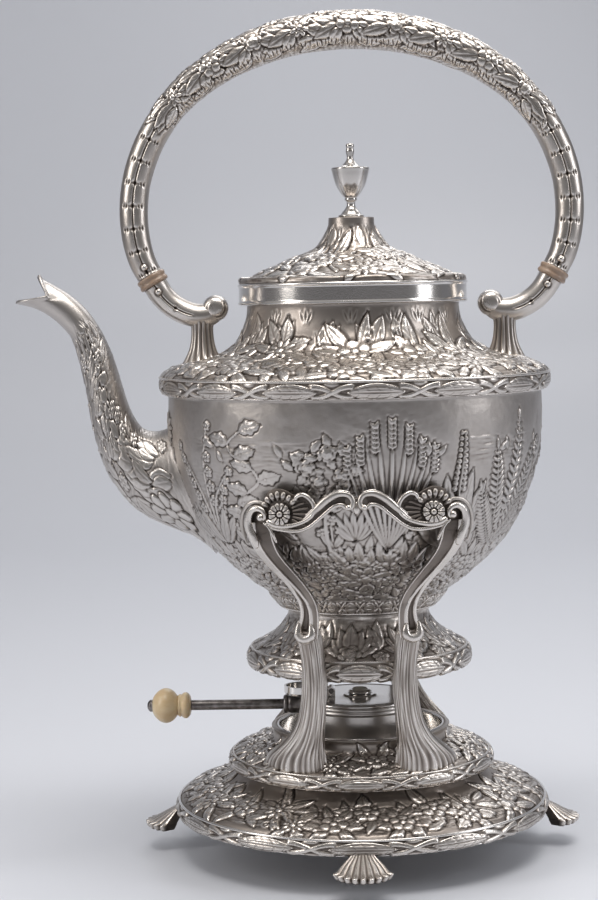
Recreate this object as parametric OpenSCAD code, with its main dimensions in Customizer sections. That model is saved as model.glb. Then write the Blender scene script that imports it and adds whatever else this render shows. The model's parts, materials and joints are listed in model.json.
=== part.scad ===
// Spirit kettle on stand: a repousse silver kettle on a burner stand.
// Frame: Z up, origin on the table under the middle of the base, X to the
// right (the spout points to -X), Y to the back. Millimetres.

/* [Stand] */
// Radius of the lower disc of the base, without its border
base_r = 85; // [84.5:0.1:85]
// Radius of the upper disc of the base, without its border
upper_r = 60; // [59.8:0.1:60.2]
// Height of the top of the collar round the lamp well
collar_z = 48.8; // [48.4:0.1:49.2]
// Inner radius of the bowed plane that the leg heads and the arches lie in
bow_r = 85; // [85:0.1:85.6]
// Thickness of the leg heads and the arches
bow_t = 4; // [3.6:0.1:4.2]

/* [Kettle] */
// Greatest radius of the bowl, without its girdle
bowl_r = 87; // [86.6:0.1:87.2]
// Thickness of the raised silver sheet
wall = 1.4; // [1.2:0.1:1.5]
// Inner radius of the mouth
mouth_r = 46.8; // [46.6:0.1:47.2]
// Radius of the plain neck band and of the lid's flange
neck_r = 53; // [52.8:0.1:53.2]

/* [Tilting joint] */
// Distance of the hinge pins and the rest studs from the middle
pin_x = 33; // [32.8:0.1:33.2]
// Height of the hinge pins and the rest studs
pin_z = 157; // [156.8:0.1:157.2]
// Radius of a hinge pin
pin_r = 1.5; // [1.4:0.05:1.55]
// Radial clearance of a hinge pin in its bores
pin_gap = 0.05; // [0.03:0.01:0.08]

/* [Lamp] */
// Radius of the lamp's drum
drum_r = 26.5; // [26:0.1:27]
// Height of the drum's top plate
drum_z = 61.7; // [61.5:0.1:61.8]
// Height of the axis of the lamp's handle
rod_z = 57.7; // [57.4:0.1:57.8]

/* [Hidden] */
$fn = 72;
silver = [0.74, 0.71, 0.68];
bright = [0.84, 0.82, 0.8];
steel = [0.4, 0.38, 0.37];
ivory = [0.84, 0.7, 0.5];
cotton = [0.9, 0.88, 0.82];
skin_gap = 0.08;

// The same shape on the other side of the kettle, left for right
module at_left() mirror([1, 0, 0]) children();
// The same shape at the back, for one made at the front
module at_back() mirror([0, 1, 0]) children();

// ---------------------------------------------------------------- sweeps
// A closed tube along the XZ plane. Each station is [upper x, upper z,
// lower x, lower z, half width in Y]; w is the thickness of its wall.
module tube_between(st, w, n) {
  m = len(st);
  outer = [for (s = st) for (i = [0:n - 1]) let (t = 360 * i / n,
    cx = (s[0] + s[2]) / 2, cz = (s[1] + s[3]) / 2,
    hx = (s[0] - s[2]) / 2, hz = (s[1] - s[3]) / 2)
    [cx + hx * cos(t), s[4] * sin(t), cz + hz * cos(t)]];
  inner = [for (s = st) for (i = [0:n - 1]) let (t = 360 * i / n,
    cx = (s[0] + s[2]) / 2, cz = (s[1] + s[3]) / 2,
    h = norm([s[0] - s[2], s[1] - s[3]]) / 2, q = (h - w) / h,
    hx = q * (s[0] - s[2]) / 2, hz = q * (s[1] - s[3]) / 2)
    [cx + hx * cos(t), (s[4] - w) * sin(t), cz + hz * cos(t)]];
  o = m * n;
  skin = [for (j = [0:m - 2]) for (i = [0:n - 1]) let (k = (i + 1) % n)
    [j * n + i, j * n + k, (j + 1) * n + k, (j + 1) * n + i]];
  hole = [for (j = [0:m - 2]) for (i = [0:n - 1]) let (k = (i + 1) % n)
    [o + j * n + k, o + j * n + i, o + (j + 1) * n + i,
      o + (j + 1) * n + k]];
  first = [for (i = [0:n - 1]) let (k = (i + 1) % n)
    [k, i, o + i, o + k]];
  last = [for (i = [0:n - 1]) let (k = (i + 1) % n, e = (m - 1) * n)
    [e + i, e + k, o + e + k, o + e + i]];
  polyhedron(points = concat(outer, inner),
    faces = concat(skin, hole, first, last), convexity = 6);
}

// Points of a tube's station across a path: p is [x, z, radius in plane,
// half width], d the path's direction there
function across(p, d) = let (u = d / norm(d))
  [p[0] - u[1] * p[2], p[1] + u[0] * p[2],
   p[0] + u[1] * p[2], p[1] - u[0] * p[2], p[3]];
function along(ps, i) = let (a = ps[max(0, i - 1)],
  b = ps[min(len(ps) - 1, i + 1)]) [b[0] - a[0], b[1] - a[1]];
function stations(ps, d0, d1) = [for (i = [0:len(ps) - 1])
  across(ps[i], i == 0 ? d0 : i == len(ps) - 1 ? d1 : along(ps, i))];
// ----------------------------------------------------------------- base
module ring(pts) rotate_extrude($fn = 96) polygon(pts);

module base_lower_shell() color(silver) ring([[base_r, 8], [base_r, 16],
  [83.5, 17.2], [78, 19.4], [71, 21.6], [66, 23], [62, 24.4],
  [58.5, 26.8], [57, 30], [45, 30], [45, 28.5], [55.8, 28.5],
  [57.2, 25.8], [61.4, 23], [65.5, 21.5], [70.6, 20.1], [77.5, 17.9],
  [82.6, 15.9], [83.5, 15.4], [83.5, 8]]);

module lower_border() color(silver) ring([[base_r, 8], [86.4, 9],
  [87, 12], [86.4, 15], [base_r, 16]]);

module base_upper_shell() color(silver) ring([[upper_r, 30],
  [upper_r, 36], [58.5, 37.2], [52, 40.3], [46, 42.2], [42, 43.2],
  [41.5, 44], [41.5, 47], [42.6, 47.6], [42.6, collar_z - 0.4],
  [42.2, collar_z], [39.6, collar_z], [39.6, 41.5], [41, 41.5],
  [45.6, 40.7], [51.4, 38.9], [57.6, 36], [58.5, 35.2], [58.5, 30]]);

// What the legs stand on, as one solid
module upper_disc_solid() ring([[0, 20], [upper_r, 20], [upper_r, 36],
  [58.5, 37.2], [52, 40.3], [46, 42.2], [42, 43.2], [41.5, 44],
  [41.5, 47], [42.6, 47.6], [42.6, collar_z], [0, collar_z]]);

module upper_border() color(silver) ring([[upper_r, 30], [61.2, 31],
  [61.6, 33], [61.2, 35], [upper_r, 36]]);

// The cup that the lamp stands in
module lamp_well() color(silver) ring([[0, 36.5], [39.6, 36.5],
  [39.6, collar_z], [38.2, collar_z], [38.2, 37.9], [0, 37.9]]);

module foot() difference() {
  union() {
    hull() {
      translate([99, 0, 0]) cylinder(h = 4.5, r = 4, $fn = 32);
      translate([95, 9.5, 0]) cylinder(h = 4, r = 4, $fn = 32);
      translate([95, -9.5, 0]) cylinder(h = 4, r = 4, $fn = 32);
      translate([88.5, 4, 6]) cylinder(h = 7, r = 1.6, $fn = 32);
      translate([88.5, -4, 6]) cylinder(h = 7, r = 1.6, $fn = 32);
      translate([94, 0, 2]) sphere(r = 7.5, $fn = 32);
    }
    translate([80, -5, 3]) cube([12, 10, 5]);
  }
  translate([0, 0, 8]) cylinder(h = 9, r = 87.05, $fn = 96);
  translate([60, -20, -10]) cube([60, 40, 10]);
}

module shell_feet() color(silver)
  for (a = [0:90:270]) rotate([0, 0, a]) foot();

// ----------------------------------------------------------------- legs
// Seen from the front, left leg: the outer edge upwards, then the inner
// edge downwards
leg_front = [[-42.5, 38], [-42.5, 43.5], [-40, 46], [-35, 49],
  [-31, 52], [-28.5, 56], [-26.3, 65], [-25, 76], [-25.4, 90],
  [-26.3, 98], [-27.4, 102.7], [-25.4, 108], [-25.6, 112],
  [-28, 118.4], [-31.6, 124], [-37, 129.7], [-42.2, 136],
  [-46.6, 143.9], [-48.6, 150.6], [-47.4, 156], [-44.4, 159.6],
  [-41.4, 159.8], [-39, 157], [-36.6, 152], [-34.8, 145], [-36.2, 141],
  [-31.6, 134.7], [-25.9, 128.3], [-21.6, 122], [-18.8, 115.5],
  [-17.4, 110], [-17.7, 102.7], [-15.9, 95.7], [-15.2, 85],
  [-14.6, 74.5], [-15.6, 65], [-16.4, 55], [-16.7, 48], [-16.7, 38]];
// Seen from the side: the leg's shaft, inner edge upwards
leg_side = [[-50, 60], [-53.4, 70], [-54, 78], [-54.4, 92], [-55, 100],
  [-56.4, 115], [-60.2, 130], [-62.6, 135], [-65.4, 140], [-68.6, 145],
  [-74, 151], [-80, 151], [-76, 145], [-73, 140], [-70, 135],
  [-67.6, 130], [-63.4, 115], [-62.4, 100], [-62.4, 92], [-62, 78],
  [-61.6, 70], [-60.5, 60]];
// Across the fan that spreads the leg's foot on the disc: radius, height
leg_fan = [[46.5, 38], [48, 46], [51, 54], [53.5, 62], [55.5, 70],
  [62.8, 70], [61.8, 62], [60.4, 54], [59.6, 46], [59, 38]];

module seen_from_front(y0, y1) translate([0, -y0, 0])
  rotate([90, 0, 0]) linear_extrude(y1 - y0) children();

module bowed(z0, z1) difference() {
  translate([0, 0, z0]) cylinder(h = z1 - z0, r = bow_r + bow_t,
    $fn = 128);
  translate([0, 0, z0 - 1]) cylinder(h = z1 - z0 + 2, r = bow_r,
    $fn = 128);
}

// Front left leg with its volute, eye and crest; the eye takes a pin
module leg() difference() {
  union() {
    intersection() {
      seen_from_front(30, 70) polygon(leg_front);
      ring(leg_fan);
    }
    intersection() {
      seen_from_front(40, 84) polygon(leg_front);
      translate([-60, 0, 0]) rotate([90, 0, 90]) linear_extrude(60)
        polygon(leg_side);
    }
    intersection() {
      seen_from_front(60, 95) union() {
        polygon([[-48.6, 141], [-48.6, 150.6], [-47.4, 156],
          [-44.4, 159.6], [-41.4, 159.8], [-40, 158], [-40.2, 163],
          [-37.5, 166.6], [-34.5, 165.4], [-33, 167.4], [-31.5, 165.4],
          [-29, 166], [-27, 163], [-27, 149], [-32.6, 149],
          [-34.8, 145], [-36.2, 141]]);
      }
      // thinner at the top, for the bowl's swing
      union() {
        bowed(141, 153);
        difference() {
          bowed(152, 170);
          translate([0, 0, 151]) cylinder(h = 20, r = 86.4, $fn = 128);
        }
      }
      seen_from_front(60, 95) polygon([[-60, 130], [-27, 130],
        [-27, 170], [-60, 170]]);
    }
    translate([-pin_x, -77.6, pin_z]) rotate([90, 0, 0])
      cylinder(h = 4.9, r = 5.2);
  }
  upper_disc_solid();
  // room for the kettle's lug, and its way up and out
  translate([-pin_x, -60, pin_z]) rotate([90, 0, 0])
    cylinder(h = 17.6, r = 5);
  translate([-pin_x - 5, -77.6, pin_z]) cube([10, 17.6, 16]);
  // flat seat of the rosette
  translate([-pin_x, -82.5, pin_z]) rotate([90, 0, 0])
    cylinder(h = 6, r = 5.2);
  // bore of the pin
  translate([-pin_x, -70, pin_z]) rotate([90, 0, 0])
    cylinder(h = 14, r = pin_r + pin_gap);
}

module front_left_leg() color(silver) leg();
module front_right_leg() color(silver) at_left() leg();
module back_left_leg() color(silver) at_back() leg();
module back_right_leg() color(silver) at_back() at_left() leg();

arch_half = [[0, 160.6], [-6, 161], [-12, 159], [-17, 155],
  [-22, 150.5], [-27, 149], [-27, 163], [-24, 164], [-20, 162],
  [-15, 164.4], [-8.8, 166], [-4.2, 165], [0, 164.4]];
arch_front = concat([[0, 155.6], [-1.8, 158.4], [-0.6, 160.6]],
  [for (i = [1:len(arch_half) - 1]) arch_half[i]],
  [for (i = [len(arch_half) - 2:-1:1]) [-arch_half[i][0],
    arch_half[i][1]]], [[0.6, 160.6], [1.8, 158.4]]);
module arch() intersection() {
  seen_from_front(60, 95) polygon(arch_front);
  bowed(141, 170);
}
module front_arch() color(silver) arch();
module back_arch() color(silver) at_back() arch();

// A flower of twelve petals that heads each pin and stud, towards -Y
module rosette() rotate([90, 0, 0]) union() {
  cylinder(h = 1.2, r = 4);
  for (a = [0:30:330]) rotate([0, 0, a]) translate([3.7, 0, 0])
    cylinder(h = 1.6, r = 1, $fn = 24);
  cylinder(h = 2.2, r = 1.7);
}

module rest_stud() translate([pin_x, 0, pin_z]) union() {
  translate([0, -74.2, 0]) rotate([90, 0, 0])
    cylinder(h = 8.3, r = pin_r);
  translate([0, -82.5, 0]) rosette();
}
module front_rest_stud() color(silver) rest_stud();
module back_rest_stud() color(silver) at_back() rest_stud();

module hinge_pin() translate([-pin_x, 0, pin_z]) union() {
  translate([0, -74.2, 0]) rotate([90, 0, 0])
    cylinder(h = 8.6, r = pin_r);
  translate([0, -82.8, 0]) rosette();
}
module front_hinge_pin() color(silver) hinge_pin();
module back_hinge_pin() color(silver) at_back() hinge_pin();

// --------------------------------------------------------------- kettle
bowl_outside = [[0, 104.5], [33.5, 104.5], [35.5, 107], [39, 110.5],
  [43.5, 113.8], [52.6, 120.7], [62, 129], [69.5, 137], [74.6, 145.5],
  [80.2, 158], [84, 170], [86.2, 178], [bowl_r, 188],
  [bowl_r, 205.6]];
bowl_inside = [[bowl_r - wall, 205.6], [bowl_r - wall, 188.2],
  [84.8, 178.4], [82.6, 170.4], [78.8, 158.5], [73.3, 146.2],
  [68.4, 138], [61, 130.1], [51.8, 122], [42.8, 115.1],
  [38.2, 111.8], [34.5, 108.4], [32.5, 106], [0, 106]];
module bowl_solid(grow) ring([[0, 104.5 - grow], [33.5, 104.5 - grow],
  [39 + grow, 110.5 - grow], [43.5 + grow, 113.8 - grow],
  [52.6 + grow, 120.7 - grow], [62 + grow, 129 - grow],
  [69.5 + grow, 137 - grow], [74.6 + grow, 145.5 - grow / 2],
  [80.2 + grow, 158], [84 + grow, 170], [86.2 + grow, 178],
  [bowl_r + grow, 188], [bowl_r + grow, 205.6 + grow],
  [0, 205.6 + grow]]);

module bowl() color(silver) difference() {
  ring(concat(bowl_outside, bowl_inside));
  // the way from the bowl into the spout
  translate([-95, 0, 165]) rotate([0, 90, 0]) cylinder(h = 35, r = 13);
}

module foot_skirt() color(silver) ring([[50.5, 86], [47.5, 87.6],
  [42, 90.8], [37, 95.2], [34, 100], [33.3, 102.8], [33.5, 104.5],
  [32, 104.5], [31.8, 102.8], [32.6, 99.5], [36, 94.2], [41.2, 89.6],
  [46.8, 86.4], [48.6, 86]]);

module foot_border() color(silver) ring([[49, 77.2], [51.2, 77.2],
  [52.2, 79], [52.4, 81], [52, 84], [50.5, 86], [48.6, 86],
  [48.6, 79]]);

module waist_ring() color(silver) ring([[33.5, 104.5], [36, 103.8],
  [38.5, 105], [39.6, 107.5], [39, 110.5], [35.5, 107]]);

module girdle_band() color(silver) ring([[bowl_r, 205.6],
  [90.2, 206.2], [91.3, 208.4], [91.3, 212.6], [90.2, 215],
  [88.6, 216], [bowl_r, 216]]);

module shoulder() color(silver) ring([[bowl_r, 205.6], [bowl_r, 216],
  [85.6, 217.4], [79, 219.5], [70, 221.6], [60.5, 224.4], [56, 228],
  [52.6, 233], [50.4, 238], [49.6, 243], [49.6, 246.5],
  [48.2, 246.5], [48.2, 242.8], [49, 237.6], [51.4, 232.2],
  [55, 226.9], [60, 223], [69.6, 220.1], [78.6, 218], [84.6, 216.1],
  [bowl_r - wall, 215.4], [bowl_r - wall, 205.6]]);
module shoulder_solid(grow) ring([[0, 206], [bowl_r, 206],
  [bowl_r, 216 + grow], [85.6 + grow, 217.4 + grow],
  [79, 219.5 + grow], [70, 221.6 + grow], [60.5 + grow, 224.4 + grow],
  [56 + grow, 228 + grow], [52.6 + grow, 233], [0, 233]]);

module neck_band() color(bright) ring([[48.2, 246.5], [51.8, 246.5],
  [neck_r, 247.7], [neck_r, 255], [52.4, 256], [mouth_r, 256],
  [mouth_r, 254.5], [48.2, 252]]);

// Upper and lower edge of the spout from its root to its mouth, and its
// half width
spout_edges = [[-78, 194, -66, 130, 25], [-88, 189.6, -76, 138, 23],
  [-94.5, 188.4, -91, 144.8, 20.5], [-99.5, 190, -101.5, 150.4, 18.5],
  [-103.4, 195.2, -110.2, 159.2, 16.8], [-106.4, 202.6, -116, 168, 15],
  [-108.6, 210.4, -120.4, 179.6, 13.4],
  [-110.8, 218.4, -123.2, 192, 12], [-113, 225.4, -125, 203.6, 10.6],
  [-115.6, 231.6, -126.8, 213.6, 9.4],
  [-118.6, 237.6, -129, 224, 8.4], [-122.4, 243.2, -132, 232.6, 7.8],
  [-127.4, 248.8, -136.6, 238.4, 7.4], [-133, 253.4, -142, 243, 7.2],
  [-138.4, 256.6, -147.6, 246, 7.2], [-143.6, 259.6, -154, 247.6, 7.6],
  [-145.2, 261.2, -156, 248.6, 8]];
module spout() color(silver) difference() {
  tube_between(spout_edges, 1.5, 32);
  bowl_solid(skin_gap);
}

// Path of the hoop from the middle of its top down to the right
// insulator: x, z, radius in plane, half width
hoop_half = [[0, 372, 9, 9], [12, 371.4, 9, 9], [24, 369.8, 8.9, 8.8],
  [36, 366.8, 8.8, 8.6], [48, 362.4, 8.5, 8.3], [58, 357.6, 8.2, 8],
  [67, 352, 7.9, 7.6], [75, 345.8, 7.6, 7.2], [82.5, 338.2, 7.2, 6.9],
  [88.5, 330.2, 6.9, 6.7], [93.4, 321.6, 6.7, 6.5],
  [97.2, 312.4, 6.6, 6.4], [99.8, 303, 6.5, 6.3],
  [101, 293.6, 6.4, 6.2], [101, 284.4, 6.3, 6.2],
  [99.8, 275.2, 6.3, 6.2], [97.6, 267.4, 6.2, 6.2],
  [94.4, 260.8, 6.1, 6.1]];
insul = [[94.4, 260.8, 6.1, 6.1], [91.9, 256.4, 6, 6]];
fall = [-2.5, -4.4];
arm_half = [[91.9, 256.4, 5.9, 5.9], [89, 251.8, 5.8, 5.8],
  [84.6, 247.2, 5.8, 5.8], [78.6, 243.4, 5.8, 5.8],
  [71.6, 241.6, 5.8, 5.8], [66, 242.6, 5.8, 5.8]];

module handle_grip() color(silver) tube_between(concat(
  [for (i = [len(hoop_half) - 1:-1:1]) across(
    [-hoop_half[i][0], hoop_half[i][1], hoop_half[i][2],
      hoop_half[i][3]], i == len(hoop_half) - 1 ? [fall[0], -fall[1]]
      : [along(hoop_half, i)[0], -along(hoop_half, i)[1]])],
  [across(hoop_half[0], [1, 0])],
  [for (i = [1:len(hoop_half) - 1]) across(hoop_half[i],
    i == len(hoop_half) - 1 ? fall : along(hoop_half, i))]), 1.3, 20);

module right_insulator_shape() translate([93.15, 0, 258.6])
  rotate([0, atan2(fall[0], fall[1]), 0]) rotate_extrude($fn = 48)
    polygon([[0, -2.53], [6.4, -2.53], [7, -1.6], [7, 1.6],
      [6.4, 2.53], [0, 2.53]]);
module right_insulator() color(ivory) right_insulator_shape();
module left_insulator() color(ivory) at_left()
  right_insulator_shape();

module right_arm_shape() difference() {
  union() {
    tube_between(stations(arm_half, fall, [-5, 1.2]), 1.3, 20);
    translate([63.4, 0, 244.2]) sphere(r = 6.5, $fn = 32);
  }
  post_solid(skin_gap);
}
module right_handle_arm() color(silver) right_arm_shape();
module left_handle_arm() color(silver) at_left() right_arm_shape();

// The flared and fluted post that carries the arm
module post_solid(grow) translate([70.5, 0, 0])
  rotate_extrude($fn = 48) polygon([[0, 212], [8 + grow, 212],
    [8 + grow, 220.5], [6.6 + grow, 223.6], [5.2 + grow, 228],
    [4.8 + grow, 232], [5.2 + grow, 238 + grow], [0, 238 + grow]]);
module right_post_shape() difference() {
  post_solid(0);
  shoulder_solid(0);
}
module right_handle_post() color(silver) right_post_shape();
module left_handle_post() color(silver) at_left() right_post_shape();

// Lugs on the bowl: closed ones turn on the left pins, open ones rest
// on the right studs
module lug_body() difference() {
  translate([-pin_x, -60, pin_z]) rotate([90, 0, 0])
    cylinder(h = 17.2, r = 4.4);
  ring(concat(bowl_outside, [[0, 205.6]]));
}
module closed_lug() difference() {
  lug_body();
  translate([-pin_x, -73.9, pin_z]) rotate([90, 0, 0])
    cylinder(h = 6, r = pin_r + pin_gap);
}
module open_lug() difference() {
  at_left() lug_body();
  translate([pin_x, -73.8, pin_z]) rotate([90, 0, 0])
    cylinder(h = 6, r = 2);
  translate([pin_x - 2, -78, pin_z - 6]) cube([4, 4.2, 6]);
}
module front_left_lug() color(silver) closed_lug();
module back_left_lug() color(silver) at_back() closed_lug();
module front_right_lug() color(silver) open_lug();
module back_right_lug() color(silver) at_back() open_lug();

// ------------------------------------------------------------------ lid
hinge_y = 55.8;
hinge_z = 257.2;
module barrel(x0, x1, r) translate([x0, hinge_y, hinge_z])
  rotate([0, 90, 0]) cylinder(h = x1 - x0, r = r, $fn = 32);

module lid_hinge_bracket() color(silver) difference() {
  union() {
    translate([-9, 50, 249]) cube([18, 6.8, 5]);
    for (x = [-9, 3.2]) {
      barrel(x, x + 5.8, 2.2);
      translate([x, hinge_y - 2.2, 252]) cube([5.8, 4.4, 5.2]);
    }
  }
  translate([0, 0, 240]) cylinder(h = 15, r = neck_r, $fn = 96);
  translate([0, 0, 254.9]) cylinder(h = 5, r = neck_r + 0.4,
    $fn = 96);
  barrel(-10, 10, 0.82);
}

module lid_hinge_pin() color(silver) union() {
  barrel(-9.3, 9.3, 0.78);
  for (x = [-9.7, 9.1]) barrel(x, x + 0.6, 1.2);
}

module lid_hinge_leaf() color(silver) difference() {
  union() {
    barrel(-2.9, 2.9, 2.2);
    translate([-2.9, 47.6, 259]) cube([5.8, hinge_y - 47.6, 1.3]);
    translate([-2.9, hinge_y - 2.2, hinge_z]) cube([5.8, 4.4, 2]);
    translate([-2.9, hinge_y - 2.2, hinge_z + 2]) cube([5.8, 2.2, 1.1]);
  }
  barrel(-10, 10, 0.84);
}

module lid_dome() color(silver) ring([[46, 256.1], [neck_r, 256.1],
  [neck_r, 258.2], [52.2, 259], [47.5, 259], [42.5, 260.9],
  [34.5, 264.4], [27, 267.8], [19.5, 270.5], [16, 273.5],
  [12.5, 278.5], [11, 282], [10.8, 286], [1.55, 286],
  [1.55, 284.8], [9.6, 284.8], [9.8, 281.6], [11.3, 277.8],
  [15, 272.6], [18.8, 269.4], [26.5, 266.6], [34, 263.2],
  [42, 259.7], [46, 258.3]]);

module lid_bezel() color(bright) ring([[44.8, 250], [46, 250],
  [46, 258.3], [44.8, 258.7]]);

module finial() color(bright) ring([[0, 281.6], [1.5, 281.6],
  [1.5, 286], [5, 286], [5, 287], [3.4, 288.2], [1.8, 290.6],
  [1.6, 293], [2.4, 294.6], [4.6, 298], [6.6, 303], [8.4, 307.6],
  [8.8, 309], [6.4, 310], [3.4, 311], [1.5, 312.4], [1.5, 313.6],
  [2.1, 315.6], [2.1, 317.6], [1.3, 319.4], [0, 320.2]]);

module finial_nut() color(steel) difference() {
  translate([0, 0, 282.4]) cylinder(h = 2.4, r = 3.4, $fn = 6);
  translate([0, 0, 280]) cylinder(h = 8, r = 1.55, $fn = 32);
}

// ----------------------------------------------------------------- lamp
module lamp_reservoir() color(bright) ring([[0, 37.9], [25.6, 37.9],
  [drum_r, 38.9], [drum_r, drum_z - 1.5], [drum_r - 1.2, drum_z - 1.5],
  [drum_r - 1.2, 39.1], [0, 39.1]]);

module lamp_top() color(bright) ring([[5, drum_z - 1.5],
  [27.3, drum_z - 1.5], [27.7, drum_z - 1.1], [27.7, drum_z - 0.7],
  [27, drum_z - 0.4], [27, drum_z - 0.2], [26.6, drum_z],
  [5, drum_z]]);

module wick_collar() color(bright) ring([[3.4, 52], [5, 52],
  [5, drum_z], [7, drum_z], [7, drum_z + 0.8], [4.6, drum_z + 1.4],
  [4.6, drum_z + 2.5], [3.4, drum_z + 2.5]]);

module wick() color(cotton) translate([0, 0, 46])
  cylinder(h = drum_z + 3.2 - 46, r = 3.3);

// A turned shape whose axis is the handle's: x, radius
module turned(pts) translate([0, 0, rod_z]) rotate([0, 90, 0])
  rotate_extrude($fn = 48) polygon([for (p = pts) [p[1], p[0]]]);

module lamp_handle_socket() color(steel) difference() {
  turned([[-36, 0], [-36, 3], [-35, 3.6], [-31, 3.6], [-30, 4.2],
    [-28, 4.2], [-20, 4.2], [-20, 0]]);
  cylinder(h = 70, r = drum_r, $fn = 96);
  translate([0, 0, drum_z - 1.6]) cylinder(h = 5, r = 27.8, $fn = 96);
}

module lamp_handle_rod() color(steel) turned([[-80, 0], [-80, 2.4],
  [-58, 2.6], [-36, 2.9], [-36, 0]]);

module lamp_handle_collar() color(ivory) turned([[-86.4, 0],
  [-86.4, 6], [-85.6, 6.2], [-84, 5], [-82, 3.8], [-80, 3.2],
  [-80, 0]]);

module lamp_knob() color(ivory) turned([[-98.2, 0], [-98.2, 3.4],
  [-97.8, 5.4], [-96.6, 7], [-94.8, 8], [-92.6, 8.3], [-90.2, 8],
  [-88.2, 7], [-87, 5.6], [-86.4, 4.4], [-86.4, 0]]);

module lamp_knob_button() color(steel) turned([[-100.8, 0],
  [-100.6, 1.8], [-99.8, 3], [-98.9, 3.3], [-98.2, 3.3],
  [-98.2, 0]]);

snuff_x = -13.4;
snuff_z = drum_z + 2.6;
module snuff_barrel(y0, y1, r) translate([snuff_x, y1, snuff_z])
  rotate([90, 0, 0]) cylinder(h = y1 - y0, r = r, $fn = 32);

module snuffer_bracket() color(bright) difference() {
  for (y = [-4, 2.2]) {
    snuff_barrel(y, y + 1.8, 1.7);
    translate([snuff_x - 1.7, y, drum_z]) cube([3.4, 1.8, 2.6]);
  }
  snuff_barrel(-6, 6, 0.82);
}

module snuffer_pin() color(steel) union() {
  snuff_barrel(-4.2, 4.2, 0.78);
  snuff_barrel(-4.7, -4.1, 1.2);
  snuff_barrel(4.1, 4.7, 1.2);
}

// The cap lies open over the root of the handle, its dome down
module snuffer_cap() color(bright) difference() {
  union() {
    snuff_barrel(-1.9, 1.9, 1.7);
    translate([-22, -1.4, snuff_z - 0.7]) cube([8.6, 2.8, 1.4]);
    translate([2 * snuff_x, 0, 0]) ring([[0, drum_z + 0.5],
      [7.4, drum_z + 0.5], [8.6, drum_z + 1.1], [9, drum_z + 2],
      [9, drum_z + 5], [8, drum_z + 5], [8, drum_z + 1.5],
      [0, drum_z + 1.5]]);
  }
  snuff_barrel(-6, 6, 0.84);
  translate([2 * snuff_x, 0, drum_z + 1.5]) cylinder(h = 8, r = 8);
}

base_lower_shell();
lower_border();
base_upper_shell();
upper_border();
lamp_well();
shell_feet();
front_left_leg();
front_right_leg();
back_left_leg();
back_right_leg();
front_arch();
back_arch();
front_rest_stud();
back_rest_stud();
front_hinge_pin();
back_hinge_pin();
bowl();
foot_skirt();
foot_border();
waist_ring();
girdle_band();
shoulder();
neck_band();
spout();
left_handle_post();
right_handle_post();
left_handle_arm();
right_handle_arm();
left_insulator();
right_insulator();
handle_grip();
front_left_lug();
back_left_lug();
front_right_lug();
back_right_lug();
lid_hinge_bracket();
lid_hinge_pin();
lid_dome();
lid_bezel();
lid_hinge_leaf();
finial();
finial_nut();
lamp_reservoir();
lamp_top();
wick_collar();
wick();
lamp_handle_socket();
lamp_handle_rod();
lamp_handle_collar();
lamp_knob();
lamp_knob_button();
snuffer_bracket();
snuffer_pin();
snuffer_cap();
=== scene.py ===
"""Spirit kettle on a burner stand, in chased and repousse silver. Lengths in the code are millimetres until a mesh is made."""

import json
import math

import numpy as np

import bpy
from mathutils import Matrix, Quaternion, Vector
from mathutils.geometry import tessellate_polygon


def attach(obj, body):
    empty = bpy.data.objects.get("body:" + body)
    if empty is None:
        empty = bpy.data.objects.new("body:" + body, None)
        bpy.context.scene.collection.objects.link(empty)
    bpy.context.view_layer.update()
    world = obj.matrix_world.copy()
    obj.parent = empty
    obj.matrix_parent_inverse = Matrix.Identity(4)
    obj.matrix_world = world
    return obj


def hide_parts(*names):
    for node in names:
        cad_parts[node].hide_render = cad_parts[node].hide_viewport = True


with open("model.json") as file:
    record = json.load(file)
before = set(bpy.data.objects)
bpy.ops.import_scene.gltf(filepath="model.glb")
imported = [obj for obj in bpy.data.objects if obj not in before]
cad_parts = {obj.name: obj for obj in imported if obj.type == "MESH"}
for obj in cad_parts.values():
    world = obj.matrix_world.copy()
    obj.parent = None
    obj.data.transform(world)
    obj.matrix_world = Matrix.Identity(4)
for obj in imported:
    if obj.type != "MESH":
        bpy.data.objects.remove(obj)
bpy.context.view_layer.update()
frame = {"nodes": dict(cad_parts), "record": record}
MM = 0.001
TAU = 2 * math.pi
FINE = 1.0  # share of the full mesh density


# ------------------------------------------------------------------ meshes
def signed_volume(co, quads, tris):
    v = 0.0
    for f in (quads[:, [0, 1, 2]], quads[:, [0, 2, 3]], tris):
        if len(f):
            a, b, c = co[f[:, 0]], co[f[:, 1]], co[f[:, 2]]
            v += float(np.einsum("ij,ij->i", a, np.cross(b, c)).sum())
    return v


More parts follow.
